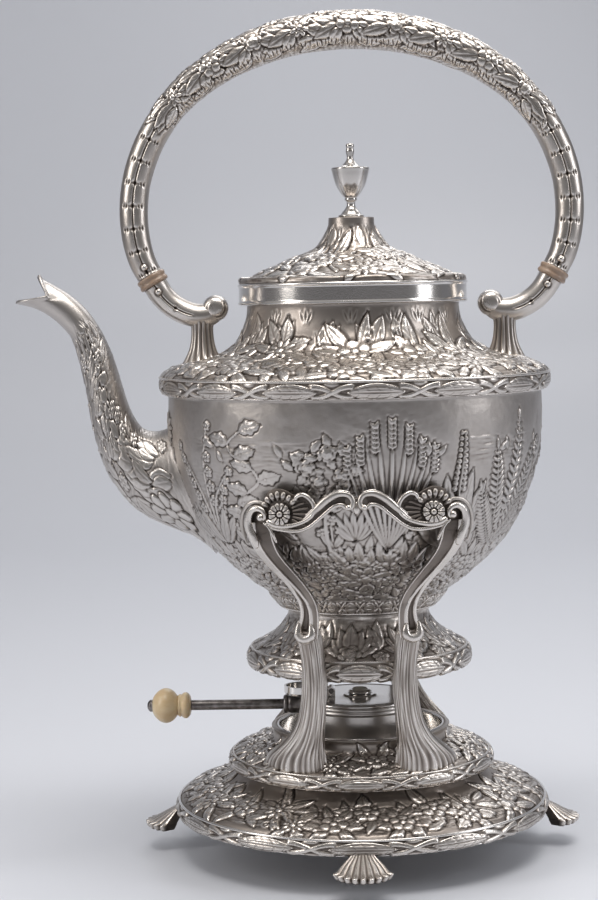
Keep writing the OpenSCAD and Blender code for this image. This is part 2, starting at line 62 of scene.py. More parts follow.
class Shape:
    """Closed surfaces gathered into one mesh."""

    def __init__(self):
        self.co, self.quads, self.tris, self.cav, self.mat, self.n = [], [], [], [], [], 0

    def add(self, co, quads=(), tris=(), cav=None, mat=0, outward=True):
        co = np.asarray(co, float).reshape(-1, 3)
        quads = np.asarray(quads, np.int64).reshape(-1, 4)
        tris = np.asarray(tris, np.int64).reshape(-1, 3)
        if outward and signed_volume(co - co.mean(0), quads, tris) < 0:
            quads, tris = quads[:, ::-1], tris[:, ::-1]
        cav = np.full(len(co), 0.72) if cav is None else np.broadcast_to(np.asarray(cav, float).ravel(), (len(co),))
        self.co.append(co)
        self.quads.append(quads + self.n)
        self.tris.append(tris + self.n)
        self.cav.append(cav)
        self.mat.append((len(quads), len(tris), mat))
        self.n += len(co)
        return self

    def merge_all(self, other):
        n = 0
        for co, q, t, c, (nq, nt, m) in zip(other.co, other.quads, other.tris, other.cav, other.mat):
            self.add(co, q - n, t - n, c, m)
            n += len(co)
        return self

    def object(self, name, mats, body, nodes=(), slot=None):
        co = np.concatenate(self.co).astype(np.float32) * np.float32(MM)
        quads, tris = np.concatenate(self.quads), np.concatenate(self.tris)
        me = bpy.data.meshes.new(name)
        me.vertices.add(len(co))
        me.vertices.foreach_set("co", co.ravel())
        loops = np.concatenate([quads.ravel(), tris.ravel()]).astype(np.int32)
        me.loops.add(len(loops))
        me.loops.foreach_set("vertex_index", loops)
        me.polygons.add(len(quads) + len(tris))
        starts = np.concatenate([np.arange(len(quads)) * 4, len(quads) * 4 + np.arange(len(tris)) * 3])
        me.polygons.foreach_set("loop_start", starts.astype(np.int32))
        me.polygons.foreach_set("use_smooth", np.ones(len(starts), bool))
        q = np.concatenate([np.full(a, m) for a, b, m in self.mat] or [np.zeros(0)])
        t = np.concatenate([np.full(b, m) for a, b, m in self.mat] or [np.zeros(0)])
        me.polygons.foreach_set("material_index", np.concatenate([q, t]).astype(np.int32))
        me.update(calc_edges=True)
        me.validate()
        cav = me.attributes.new("cav", "FLOAT", "POINT")
        cav.data.foreach_set("value", np.concatenate(self.cav).astype(np.float32))
        for m in mats if isinstance(mats, (list, tuple)) else [mats]:
            me.materials.append(m)
        ob = bpy.data.objects.new(name, me)
        bpy.context.scene.collection.objects.link(ob)
        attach(ob, body)
        if nodes:
            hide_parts(*nodes)
        return ob


def grid(nr, nc, wrap_r, wrap_c, base=0):
    i = np.arange(nr if wrap_r else nr - 1)
    j = np.arange(nc if wrap_c else nc - 1)
    i, j = (a.ravel() for a in np.meshgrid(i, j, indexing="ij"))
    k, m = (i + 1) % nr, (j + 1) % nc
    return np.stack([i * nc + j, i * nc + m, k * nc + m, k * nc + j], 1) + base


def smooth_line(pts, step):
    """A smooth line through points, with a corner at each point that is given twice, cut into steps."""
    pts = np.asarray(pts, float)
    pieces, cur = [], [pts[0]]
    for a, b in zip(pts[:-1], pts[1:]):
        if np.allclose(a, b):
            pieces.append(np.array(cur))
            cur = [b]
        else:
            cur.append(b)
    pieces.append(np.array(cur))
    out = []
    for p in pieces:
        if len(p) < 2:
            continue
        if len(p) == 2:
            n = max(1, int(round(np.linalg.norm(p[1] - p[0]) / step)))
            t = np.linspace(0, 1, n + 1)[:, None]
            line = p[0] * (1 - t) + p[1] * t
        else:
            q = np.concatenate([[2 * p[0] - p[1]], p, [2 * p[-1] - p[-2]]])
            line = []
            for k in range(1, len(q) - 2):
                p0, p1, p2, p3 = q[k - 1 : k + 3]
                t0 = 0.0
                t1 = t0 + max(np.linalg.norm(p1 - p0), 1e-6) ** 0.5
                t2 = t1 + max(np.linalg.norm(p2 - p1), 1e-6) ** 0.5
                t3 = t2 + max(np.linalg.norm(p3 - p2), 1e-6) ** 0.5
                n = max(2, int(round(np.linalg.norm(p2 - p1) / (step * 0.5))))
                t = np.linspace(t1, t2, n + 1)[:, None]
                a1 = (t1 - t) / (t1 - t0) * p0 + (t - t0) / (t1 - t0) * p1
                a2 = (t2 - t) / (t2 - t1) * p1 + (t - t1) / (t2 - t1) * p2
                a3 = (t3 - t) / (t3 - t2) * p2 + (t - t2) / (t3 - t2) * p3
                b1 = (t2 - t) / (t2 - t0) * a1 + (t - t0) / (t2 - t0) * a2
                b2 = (t3 - t) / (t3 - t1) * a2 + (t - t1) / (t3 - t1) * a3
                c = (t2 - t) / (t2 - t1) * b1 + (t - t1) / (t2 - t1) * b2
                line.append(c if k == len(q) - 3 else c[:-1])
            line = np.concatenate(line)
            d = np.concatenate([[0], np.cumsum(np.linalg.norm(np.diff(line, axis=0), axis=1))])
            n = max(2, int(round(d[-1] / step)))
            u = np.linspace(0, d[-1], n + 1)
            line = np.stack([np.interp(u, d, line[:, a]) for a in range(line.shape[1])], 1)
        out.append(line if not out else line[1:])
    return np.concatenate(out)


def arc_of(line):
    return np.concatenate([[0], np.cumsum(np.linalg.norm(np.diff(line, axis=0), axis=1))])


def line_normals(line):
    """Normals of a profile that runs (r, z), to the right of its direction: outward for one that runs upwards."""
    d = np.gradient(line, axis=0)
    n = np.stack([d[:, 1], -d[:, 0]], 1)
    return n / np.maximum(np.linalg.norm(n, axis=1, keepdims=True), 1e-9)


def revolve(shape, line, nt, disp=None, cav=None, closed=True, mat=0, centre=(0, 0)):
    """Turns a profile about Z. disp moves its rows along their normals. Rows on the axis become one point."""
    line = np.asarray(line, float)
    n = line_normals(line)
    r = line[:, 0:1] + (0 if disp is None else disp * n[:, 0:1])
    z = line[:, 1:2] + (0 if disp is None else disp * n[:, 1:2])
    th = np.arange(nt) * TAU / nt
    r, z = np.broadcast_to(r, (len(line), nt)), np.broadcast_to(z, (len(line), nt))
    cav = np.full((len(line), nt), 0.72) if cav is None else np.broadcast_to(cav, (len(line), nt))
    co = np.stack([r * np.cos(th) + centre[0], r * np.sin(th) + centre[1], z], 2)
    poles = [i for i in (0, len(line) - 1) if not closed and line[i, 0] < 1e-6]
    a, b = (1 if 0 in poles else 0), len(line) - (1 if len(line) - 1 in poles else 0)
    body = co[a:b].reshape(-1, 3)
    quads = grid(b - a, nt, closed, True)
    pts, cv, tris = [body], [cav[a:b].ravel()], []
    j = np.arange(nt)
    for i in poles:
        k = sum(len(p) for p in pts)
        pts.append([[centre[0], centre[1], line[i, 1]]])
        cv.append([cav[i].mean()])
        row = 0 if i == 0 else (b - a - 1) * nt
        t = np.stack([row + j, row + (j + 1) % nt, np.full(nt, k)], 1)
        tris.append(t[:, ::-1] if i == 0 else t)
    shape.add(np.concatenate(pts), quads, np.concatenate(tris) if tris else (), np.concatenate(cv), mat)
    return shape


def frames(path, up=None):
    """Tangents, and two normals that turn as little as they can, along a path."""
    t = np.gradient(path, axis=0)
    t /= np.maximum(np.linalg.norm(t, axis=1, keepdims=True), 1e-9)
    n = np.zeros_like(path)
    u = np.array([0, 1, 0] if up is None else up, float)
    u = u - t[0] * u.dot(t[0])
    if np.linalg.norm(u) < 1e-6:
        u = np.array([1, 0, 0.0]) - t[0] * t[0][0]
    n[0] = u / np.linalg.norm(u)
    for i in range(1, len(path)):
        u = n[i - 1] - t[i] * n[i - 1].dot(t[i])
        n[i] = u / max(np.linalg.norm(u), 1e-9)
    return t, n, np.cross(t, n)


def sweep(shape, path, section, normals=None, binormals=None, cav=None, mat=0):
    """Closed tube through rings. section is (rings, points, 2): distances along the normal and the binormal. Its ends are closed with fans."""
    m, k = section.shape[:2]
    if normals is None:
        _, normals, binormals = frames(path)
    co = path[:, None, :] + section[:, :, 0:1] * normals[:, None, :] + section[:, :, 1:2] * binormals[:, None, :]
    quads = grid(m, k, False, True)
    ends = np.stack([co[0].mean(0), co[-1].mean(0)])
    j = np.arange(k)
    base = m * k
    first = np.stack([(j + 1) % k, j, np.full(k, base)], 1)
    last = np.stack([(m - 1) * k + j, (m - 1) * k + (j + 1) % k, np.full(k, base + 1)], 1)
    if cav is not None:
        cav = np.broadcast_to(cav, (m, k))
        cav = np.concatenate([cav.ravel(), [cav[0].mean(), cav[-1].mean()]])
    shape.add(np.concatenate([co.reshape(-1, 3), ends]), quads, np.concatenate([first, last]), cav, mat)
    return shape


def ring_section(radii, k, squash=1.0):
    a = np.arange(k) * TAU / k
    radii = np.asarray(radii, float)[:, None]
    return np.stack([radii * np.cos(a) * squash, radii * np.sin(a)], 2)


def round_tip(radii, path):
    """Radii that close to a round tip at both ends of a path."""
    d = arc_of(path)
    r = np.asarray(radii, float).copy()
    for e, way in ((0, d), (-1, d[-1] - d)):
        near = way < r[e]
        r[near] *= np.sqrt(np.clip(1 - (1 - way[near] / r[e]) ** 2, 0.02, 1))
    return r


def tube(shape, pts, r0, r1=None, k=12, step=0.7, mat=0, cav=None, squash=1.0, up=None):
    """A round bar along a smooth line, with round ends."""
    path = smooth_line(pts, step)
    r = np.interp(np.linspace(0, 1, len(path)), np.linspace(0, 1, np.size(r0)), np.atleast_1d(r0)) if r1 is None else np.linspace(r0, r1, len(path))
    r = round_tip(r, path)
    _, n, b = frames(path, up)
    return sweep(shape, path, ring_section(r, k, squash), n, b, cav=cav, mat=mat)


def ball(shape, c, r, nt=24, squash=(1, 1, 1), mat=0, cav=None):
    a = np.linspace(-math.pi / 2, math.pi / 2, max(6, nt // 2))
    s = Shape()
    revolve(s, np.stack([np.maximum(r * np.cos(a), 0), r * np.sin(a)], 1) * [1, 1], nt, closed=False, mat=mat, cav=cav)
    co = s.co[0] * np.asarray(squash) + np.asarray(c)
    shape.add(co, s.quads[0], s.tris[0], s.cav[0], mat)
    return shape


# ------------------------------------------------------------------ relief
def smoothstep(lo, hi, x):
    t = np.clip((x - lo) / (hi - lo), 0, 1)
    return t * t * (3 - 2 * t)


class Field:
    """Heights over a surface whose points are an angle round it and an arc length s along it. r is its radius at each s, so that shapes keep their size."""

    def __init__(self, s, r, nt):
        self.s, self.r, self.nt = np.asarray(s, float), np.asarray(r, float), nt
        self.H = np.zeros((len(s), nt))
        self.top = np.zeros((len(s), nt))
        self.d = TAU / nt
        self.flat = 0.0  # 0 for domed leaves, 1 for flat ones that lean to one side

    def patch(self, th, s, reach):
        i0, i1 = np.searchsorted(self.s, [s - reach, s + reach])
        if i1 - i0 < 2:
            return None
        r = max(self.r[i0:i1].min(), 1.5)
        k = min(int(reach / r / self.d) + 1, self.nt // 2 - 1)
        c = int(round(th / self.d))
        j = np.arange(c - k, c + k + 1)
        x = (j * self.d - th)[None, :] * self.r[i0:i1, None]
        y = (self.s[i0:i1] - s)[:, None] + 0 * x
        return (slice(i0, i1), j % self.nt), x, y

    def put(self, at, a, h, lift=0.3, groove=None):
        cur = self.H[at[0]][:, at[1]]
        w = a > 0.5
        base = lift * float(cur[w].mean()) if w.any() else 0.0
        new = cur * (1 - a) + (max(base, 0) + h) * a
        if groove is not None:
            new = new - groove * (1 - a)
        self.H[at[0], at[1]] = new
        t = self.top[at[0]][:, at[1]]
        self.top[at[0], at[1]] = np.maximum(t, a)

    def covered(self, th, s):
        i = min(max(int(np.searchsorted(self.s, s)), 0), len(self.s) - 1)
        return self.top[i, int(round(th / self.d)) % self.nt]


def leaf(F, th, s, ang, L, W, A=0.9, bend=0.0, lobes=0, veins=5, keep=0.45, tip=0.9, rib=0.35):
    ca, sa = math.cos(ang), math.sin(ang)
    r = max(float(np.interp(s, F.s, F.r)), 1.5)
    got = F.patch(th + ca * L / 2 / r, s + sa * L / 2, L / 2 + W + 1.5)
    if got is None:
        return
    at, x, y = got
    x, y = x + ca * L / 2, y + sa * L / 2
    X, Y = x * ca + y * sa, -x * sa + y * ca
    q = X / L
    Y = Y - bend * L * q * (1 - 0.35 * q) * np.clip(q, 0, 1.2)
    qc = np.clip(q, 0.001, 0.999)
    w = W * np.sin(math.pi * qc**tip) ** 0.8
    if lobes:
        w = w * (1 - 0.22 * (0.5 + 0.5 * np.cos(TAU * lobes * qc)))
    end = np.minimum(X, L - X)
    d = np.minimum(w - np.abs(Y), end + 0.3)
    a = smoothstep(-0.25, 0.35, d)
    t = np.abs(Y) / np.maximum(w, 0.2)
    dome = 0.35 + 0.65 * np.sqrt(np.clip(1 - t * t, 0, 1))
    lean = 0.74 + (0.22 if int(L * 1000) % 2 else -0.22) * np.clip(Y / np.maximum(w, 0.2), -1, 1)
    h = A * ((1 - F.flat) * dome + F.flat * lean) * (0.55 + 0.2 * F.flat + (0.45 - 0.2 * F.flat) * np.sin(math.pi * np.clip(q, 0, 1)))
    h = h - rib * A * np.exp(-((Y / 0.38) ** 2)) * (q < 0.93)
    if veins and W > 1.2:
        h = h - 0.16 * A * (0.5 + 0.5 * np.cos(TAU * (q * veins - t * 0.9))) * smoothstep(0.1, 0.4, t)
    g = (0.35 + 0.3 * F.flat) * A * np.exp(-(((d + 0.35) / 0.45) ** 2))
    F.put(at, a, h, keep, g)


def flower(F, th, s, R, n=5, A=1.1, turn=0.0, keep=0.35, kind="round"):
    got = F.patch(th, s, R + 1.2)
    if got is None:
        return
    at, x, y = got
    rho, phi = np.hypot(x, y), np.arctan2(y, x)
    psi = ((phi - turn) * n / TAU) % 1 - 0.5
    if kind == "round":
        edge = R * (0.66 + 0.34 * np.cos(math.pi * psi) ** 0.6)
    elif kind == "point":
        edge = R * (0.45 + 0.55 * (1 - np.abs(psi) * 2) ** 0.75)
    else:
        edge = R * (0.78 + 0.22 * np.cos(math.pi * psi) ** 0.5 - 0.12 * np.exp(-((psi / 0.12) ** 2)))
    d = edge - rho
    a = smoothstep(-0.25, 0.35, d)
    u = np.clip(rho / R, 0, 1)
    width = np.clip(TAU * rho / n, 0.3, 9)
    gap = np.exp(-(((0.5 - np.abs(psi)) * width / 0.34) ** 2))
    h = A * (0.42 + 0.58 * np.sin(math.pi * np.clip(u * 0.92 + 0.05, 0, 1)) ** 0.8) * (0.72 + 0.28 * np.cos(math.pi * psi * 1.6))
    h = h * (1 - 0.42 * gap) - 0.18 * A * np.exp(-((psi * width / 0.3) ** 2)) * (u < 0.75)
    c = 0.27 * R
    bead = np.clip(1 - (rho / c) ** 2, 0, 1)
    h = (1 - 0.5 * F.flat) * h + 0.4 * F.flat * A * (1 - 0.45 * gap)
    stip = 0.07 * np.sin(x * 5.2) * np.sin(y * 5.2)
    h = np.where(rho < c, A * (0.62 + 0.5 * np.sqrt(bead)) + stip * bead, h)
    h = h - 0.35 * A * np.exp(-(((rho - c * 1.08) / 0.3) ** 2))
    g = 0.35 * A * np.exp(-(((d + 0.35) / 0.45) ** 2))
    F.put(at, a, h, keep, g)


def rose(F, th, s, R, A=1.2, turn=0.0, keep=0.3):
    flower(F, th, s, R, 5, A * 0.8, turn, keep, "round")
    got = F.patch(th, s, R)
    if got is None:
        return
    at, x, y = got
    rho, phi = np.hypot(x, y), np.arctan2(y, x)
    q = R * 0.62
    swirl = np.cos(3 * (phi - turn) + rho / R * 9.0)
    a = smoothstep(0, 0.5, q - rho)
    h = A * (0.7 + 0.35 * (1 - (rho / q) ** 2)) - 0.28 * A * (0.5 - 0.5 * swirl) * smoothstep(0.2, 0.7, rho)
    F.put(at, a, h, 0.2, 0.3 * np.exp(-(((rho - q - 0.2) / 0.35) ** 2)))


def bud(F, th, s, R, A=0.9, keep=0.3, cross=False):
    got = F.patch(th, s, R + 1)
    if got is None:
        return
    at, x, y = got
    rho = np.hypot(x, y)
    a = smoothstep(-0.2, 0.3, R - rho)
    h = A * np.sqrt(np.clip(1.05 - (rho / R) ** 2, 0, 2))
    if cross:
        h = h - 0.3 * A * np.exp(-((x / 0.3) ** 2))
    F.put(at, a, h, keep, 0.3 * A * np.exp(-(((rho - R - 0.25) / 0.4) ** 2)))


def stem(F, pts, w0, w1, A=0.7, keep=0.2):
    """A raised line through (angle, s) points."""
    pts = np.asarray(pts, float)
    r = np.interp(pts[:, 1], F.s, F.r)
    mm = np.stack([pts[:, 0] * r.mean(), pts[:, 1]], 1)
    line = smooth_line(mm, 0.45)
    n = len(line)
    for i, (x, y) in enumerate(line):
        w = w0 + (w1 - w0) * i / max(1, n - 1)
        got = F.patch(x / r.mean(), y, w + 0.8)
        if got is None:
            continue
        at, dx, dy = got
        rho = np.hypot(dx, dy)
        h = A * np.sqrt(np.clip(1 - (rho / w) ** 2, 0, 1))
        cur = F.H[at[0]][:, at[1]]
        F.H[at[0], at[1]] = np.where(rho < w, np.maximum(cur, h), cur - 0.02 * np.exp(-(((rho - w) / 0.3) ** 2)) * (rho < w + 0.8))
        t = F.top[at[0]][:, at[1]]
        F.top[at[0], at[1]] = np.maximum(t, rho < w)


def curl(F, th, s, R, ang, turns=1.4, w=0.9, A=0.8, hand=1):
    """A leafy scroll that winds in from radius R."""
    r = max(float(np.interp(s, F.s, F.r)), 1.5)
    pts = []
    for i in range(14):
        u = i / 13
        a = ang + hand * turns * TAU * u
        q = R * (1 - 0.82 * u**0.8)
        pts.append((th + q * math.cos(a) / r, s + q * math.sin(a)))
    stem(F, pts, w, w * 0.6, A)
    bud(F, pts[-1][0], pts[-1][1], w * 1.3, A * 1.1)


def fern(F, th, s, ang, L, n, lw, ll, bend=0.0, A=0.6):
    r = max(float(np.interp(s, F.s, F.r)), 1.5)
    pts = []
    for i in range(6):
        q = i / 5
        x, y = L * q, bend * L * q * q
        pts.append((th + (x * math.cos(ang) - y * math.sin(ang)) / r, s + x * math.sin(ang) + y * math.cos(ang)))
    for i in range(n):
        q = (i + 1) / (n + 1)
        x, y = L * q, bend * L * q * q
        a = ang + math.atan(2 * bend * q)
        px, py = th + (x * math.cos(ang) - y * math.sin(ang)) / r, s + x * math.sin(ang) + y * math.cos(ang)
        size = math.sin(math.pi * (0.18 + 0.78 * q)) ** 0.7
        for side in (-1, 1):
            leaf(F, px, py, a + side * 0.85, ll * size, lw * size, A, veins=0, keep=0.2, rib=0.25)
    leaf(F, pts[-1][0], pts[-1][1], ang + math.atan(2 * bend), ll * 0.7, lw * 0.8, A, veins=0, rib=0.2)
    stem(F, pts, 0.55, 0.35, A * 0.8)


def ground(F, rng, s0, s1, amount=0.06):
    """The tooled ground between the raised shapes: short strokes and punch marks."""
    i0, i1 = np.searchsorted(F.s, [s0, s1])
    if i1 - i0 < 4:
        return
    n = rng.standard_normal((i1 - i0, F.nt))
    streak = blurred(n, 0.6, 3.5)
    streak = streak / streak.std()
    F.H[i0:i1] += (amount * 0.5 * n + amount * 1.3 * streak) * (1 - F.top[i0:i1])


def spray(F, rng, th, s, size, A, n):
    """Leaves that spread from one point, long and short."""
    r = float(np.interp(s, F.s, F.r))
    off = rng.random() * TAU
    for i in range(n):
        a = off + TAU * i / n + (rng.random() - 0.5) * 0.6
        if rng.random() < 0.6:
            L, W, lobes = size * (2.3 + 0.9 * rng.random()), size * (0.40 + 0.14 * rng.random()), 0
        else:
            L, W, lobes = size * (1.7 + 0.5 * rng.random()), size * (0.58 + 0.18 * rng.random()), 3
        leaf(F, th + math.cos(a) * size * 0.5 / r, s + math.sin(a) * size * 0.5, a, L, W, A * (0.75 + 0.25 * rng.random()), bend=(rng.random() - 0.5) * 0.7, lobes=lobes, veins=6, keep=0.2)


def flora(F, rng, s0, s1, size=4.6, gap=2.9, A=1.05, bed=1.0):
    """Fills a band with flowers, the sprays of leaves behind them, and smaller leaves, curls and beads in what is left."""
    area = TAU * (s1 - s0) * float(np.interp(np.linspace(s0, s1, 50), F.s, F.r).mean())
    spots = []
    want = int(area / (size * size * gap * gap * 0.72))
    for _ in range(want * 30):
        if len(spots) >= want:
            break
        th, s = rng.random() * TAU, s0 + size * 0.8 + max(s1 - s0 - 1.6 * size, 0.1) * rng.random()
        r = float(np.interp(s, F.s, F.r))
        if any(math.hypot(((th - t + math.pi) % TAU - math.pi) * r, s - q) < size * gap * 0.92 for t, q in spots):
            continue
        spots.append((th, s))
    clear = lambda s, L, a: min(max(s, s0 + max(0, -math.sin(a)) * L), s1 - max(0, math.sin(a)) * L)
    for th, s in spots:
        spray(F, rng, th, s, size, A, int(rng.integers(5, 8)))
    for _ in range(int(bed * area / (size * size * 0.9))):
        th, s = rng.random() * TAU, s0 + (s1 - s0) * rng.random()
        if F.covered(th, s) > 0.35:
            continue
        a = rng.random() * TAU
        L = size * (1.5 + 0.8 * rng.random())
        c = rng.random()
        if c < 0.74:
            leaf(F, th, clear(s, L, a), a, L, size * (0.3 + 0.14 * rng.random()), A * 0.7, bend=(rng.random() - 0.5) * 0.8, keep=0.2)
        elif c < 0.92:
            curl(F, th, s, size * 0.55, a, 1.2, size * 0.11, A * 0.6, 1 if rng.random() < 0.5 else -1)
        else:
            bud(F, th, s, size * 0.2, A * 0.8)
    for th, s in spots:
        r = float(np.interp(s, F.s, F.r))
        R = size * (0.95 + 0.3 * rng.random())
        c = rng.random()
        turn = rng.random() * TAU
        if c < 0.4:
            flower(F, th, s, R * 1.05, 5, A * 1.15, turn, 0.25, "round")
        elif c < 0.62:
            flower(F, th, s, R * 1.1, 9, A * 1.05, turn, 0.25, "point")
        elif c < 0.8:
            rose(F, th, s, R, A * 1.15, turn)
        else:
            flower(F, th, s, R, 6, A * 1.05, turn, 0.25, "notch")
        a = rng.random() * TAU
        bud(F, th + math.cos(a) * R * 1.45 / r, s + math.sin(a) * R * 1.45, size * 0.19, A * 0.8)
    return spots


def blurred(H, cells_s, cells_t):
    """A Gaussian blur that wraps round and mirrors at the ends."""
    n = H.shape[0]
    P = np.concatenate([H[::-1], H, H[::-1]])
    fs, ft = np.fft.fftfreq(P.shape[0]), np.fft.rfftfreq(P.shape[1])
    g = np.exp(-2 * (math.pi * fs[:, None] * cells_s) ** 2) * np.exp(-2 * (math.pi * ft[None, :] * cells_t) ** 2)
    return np.fft.irfft2(np.fft.rfft2(P) * g, s=P.shape)[n : 2 * n]


def cavity(F, near=0.9, far=2.6, gain=0.55, gain_far=0.35, mid=0.56, H=None):
    """Light on what stands out and dark in what lies behind."""
    H = F.H if H is None else H
    ds = np.median(np.diff(F.s))
    dt = np.median(F.r) * F.d
    a = H - blurred(H, near / ds, near / dt)
    b = H - blurred(H, far / ds, far / dt)
    return np.clip(mid + gain * a + gain_far * b, 0, 1)


def ribbon_band(F, s0, s1, n, A=1.1, phase=0.0, hand=1):
    """Long pointed leaves laid end to end round a rim, each pair tied by two ribbons that cross."""
    i0, i1 = np.searchsorted(F.s, [s0, s1])
    s = F.s[i0:i1, None]
    half = (s1 - s0) / 2
    y = (s - (s0 + s1) / 2) / half
    th = (np.arange(F.nt) * F.d)[None, :]
    u = (th * n / TAU + phase) % 1.0  # one repeat, with the leaf's middle at 0.5
    P = TAU * float(F.r[i0:i1].mean()) / n  # its length in mm
    part = 0.66
    q = (u - 0.5) / part  # -0.5 to 0.5 along the leaf
    w = 0.98 * np.clip(1 - np.abs(2 * q) ** 1.9, 0, 1) ** 0.9
    d = (w - np.abs(y)) * half
    a = smoothstep(-0.1, 0.25, d)
    v = np.abs(y) / np.maximum(w, 0.05)
    body = A * (0.52 + 0.48 * np.sqrt(np.clip(1 - v**2, 0, 1)))
    # a leaf within the leaf, its midrib, and slanting cuts
    for at, dp in ((0.62, 0.34), (0.3, 0.2), (-0.04, 0.28)):
        body = body - dp * A * np.exp(-(((v * np.sign(y + 1e-9) - at) * np.maximum(w, 0.15) * half / 0.22) ** 2)) * (np.abs(q) < 0.46)
        body = body - dp * A * np.exp(-(((v * np.sign(y + 1e-9) + at + 0.02) * np.maximum(w, 0.15) * half / 0.22) ** 2)) * (np.abs(q) < 0.46)
    cut = np.abs(((q * P * part / 4.6 + 0.9 * np.abs(y)) % 1) - 0.5)
    body = body - 0.2 * A * np.exp(-((cut * 4.6 / 0.28) ** 2)) * (v > 0.2) * (np.abs(q) < 0.42)
    # the ribbons cross between two leaves, and their ends wave over the leaves' tips
    z = ((u + 0.5) % 1.0 - 0.5) / (1 - part) * 0.78  # -0.5 to 0.5 through the tie
    best = np.zeros_like(body)
    for sign, top in ((-1, 0.86), (1, 1.0)):
        inside = np.abs(z) < 0.62
        mid = sign * hand * np.sin(math.pi * np.clip(z, -0.5, 0.5)) * 0.62
        dist = np.abs(y - mid) * half
        wide = half * (0.27 + 0.10 * np.abs(2 * z))
        h = A * top * np.sqrt(np.clip(1 - (dist / wide) ** 2, 0, 1)) - 0.24 * A * np.exp(-((dist / 0.2) ** 2))
        best = np.maximum(best, np.where(inside, h * smoothstep(0.62, 0.5, np.abs(z)), 0))
    for sy in (-1, 1):
        # small leaf tips above and below the crossing
        e = np.hypot(z / 0.2, (y - sy * 0.92) / 0.34)
        best = np.maximum(best, A * 0.7 * np.sqrt(np.clip(1 - e**2, 0, 1)))
    H = np.maximum(body * a, best) - 0.35
    F.H[i0:i1] = H
    F.top[i0:i1] = np.maximum(a, best > 0.1)


# --------------------------------------------------------------- materials
def material(name):
    m = bpy.data.materials.new(name)
    m.use_nodes = True
    nt = m.node_tree
    for n in list(nt.nodes):
        nt.nodes.remove(n)
    out = nt.nodes.new("ShaderNodeOutputMaterial")
    p = nt.nodes.new("ShaderNodeBsdfPrincipled")
    nt.links.new(p.outputs[0], out.inputs[0])
    return m, nt, p


def node(nt, kind, **values):
    n = nt.nodes.new(kind)
    for k, v in values.items():
        if hasattr(n, k):
            setattr(n, k, v)
        else:
            n.inputs[k.replace("_", " ")].default_value = v
    return n


def ramp(nt, stops):
    n = nt.nodes.new("ShaderNodeValToRGB")
    e = n.color_ramp.elements
    while len(e) < len(stops):
        e.new(0.5)
    for x, (p, c) in zip(e, stops):
        x.position = p
        x.color = (*c, 1) if np.size(c) == 3 else (c, c, c, 1)
    return n


def silver(name, dark=(0.035, 0.026, 0.021), mid=(0.34, 0.30, 0.27), light=(0.70, 0.66, 0.62), rough=(0.42, 0.2), tarnish=0.35, bump=0.12, grain=1400.0):
    m, nt, p = material(name)
    link = nt.links.new
    co = node(nt, "ShaderNodeTexCoord")
    at = node(nt, "ShaderNodeAttribute", attribute_name="cav")
    big = node(nt, "ShaderNodeTexNoise", Scale=38.0, Detail=4.0, Roughness=0.6)
    link(co.outputs["Object"], big.inputs["Vector"])
    fine = node(nt, "ShaderNodeTexNoise", Scale=grain, Detail=3.0, Roughness=0.6)
    link(co.outputs["Object"], fine.inputs["Vector"])
    # patches of tarnish shift what counts as hollow
    shift = node(nt, "ShaderNodeMath", operation="MULTIPLY_ADD")
    link(big.outputs["Fac"], shift.inputs[0])
    shift.inputs[1].default_value = -tarnish * 0.5
    shift.inputs[2].default_value = tarnish * 0.25
    cav = node(nt, "ShaderNodeMath", operation="ADD", use_clamp=True)
    link(at.outputs["Fac"], cav.inputs[0])
    link(shift.outputs[0], cav.inputs[1])
    col = ramp(nt, [(0.0, dark), (0.36, tuple(0.55 * a + 0.45 * b for a, b in zip(dark, mid))), (0.52, mid), (0.74, light), (1.0, tuple(min(1, c * 1.05) for c in light))])
    link(cav.outputs[0], col.inputs[0])
    link(col.outputs[0], p.inputs["Base Color"])
    ro = node(nt, "ShaderNodeMapRange")
    link(cav.outputs[0], ro.inputs["Value"])
    ro.inputs["From Min"].default_value = 0.3
    ro.inputs["From Max"].default_value = 0.75
    ro.inputs["To Min"].default_value = rough[0]
    ro.inputs["To Max"].default_value = rough[1]
    rn = node(nt, "ShaderNodeMath", operation="MULTIPLY_ADD", use_clamp=True)
    link(big.outputs["Fac"], rn.inputs[0])
    rn.inputs[1].default_value = 0.12
    link(ro.outputs["Result"], rn.inputs[2])
    link(rn.outputs[0], p.inputs["Roughness"])
    p.inputs["Metallic"].default_value = 1.0
    bp = node(nt, "ShaderNodeBump", Strength=bump, Distance=0.0004)
    link(fine.outputs["Fac"], bp.inputs["Height"])
    link(bp.outputs[0], p.inputs["Normal"])
    return m


RELIEF = silver("chased_silver")
SOFT = silver("bowl_silver", mid=(0.40, 0.365, 0.34), light=(0.57, 0.54, 0.515), rough=(0.44, 0.26), tarnish=0.3)
CAST = silver("cast_silver", rough=(0.42, 0.2), bump=0.1)
PLAIN = silver("polished_silver", mid=(0.5, 0.47, 0.44), light=(0.76, 0.735, 0.71), rough=(0.3, 0.09), tarnish=0.12, bump=0.03)


def steel_material():
    m, nt, p = material("darkened_steel")
    co = node(nt, "ShaderNodeTexCoord")
    n = node(nt, "ShaderNodeTexNoise", Scale=300.0, Detail=5.0)
    nt.links.new(co.outputs["Object"], n.inputs["Vector"])
    c = ramp(nt, [(0.3, (0.10, 0.085, 0.08)), (0.7, (0.34, 0.32, 0.31))])
    nt.links.new(n.outputs["Fac"], c.inputs[0])
    nt.links.new(c.outputs[0], p.inputs["Base Color"])
    r = node(nt, "ShaderNodeMapRange")
    nt.links.new(n.outputs["Fac"], r.inputs["Value"])
    r.inputs["To Min"].default_value = 0.24
    r.inputs["To Max"].default_value = 0.5
    nt.links.new(r.outputs["Result"], p.inputs["Roughness"])
    p.inputs["Metallic"].default_value = 1.0
    return m


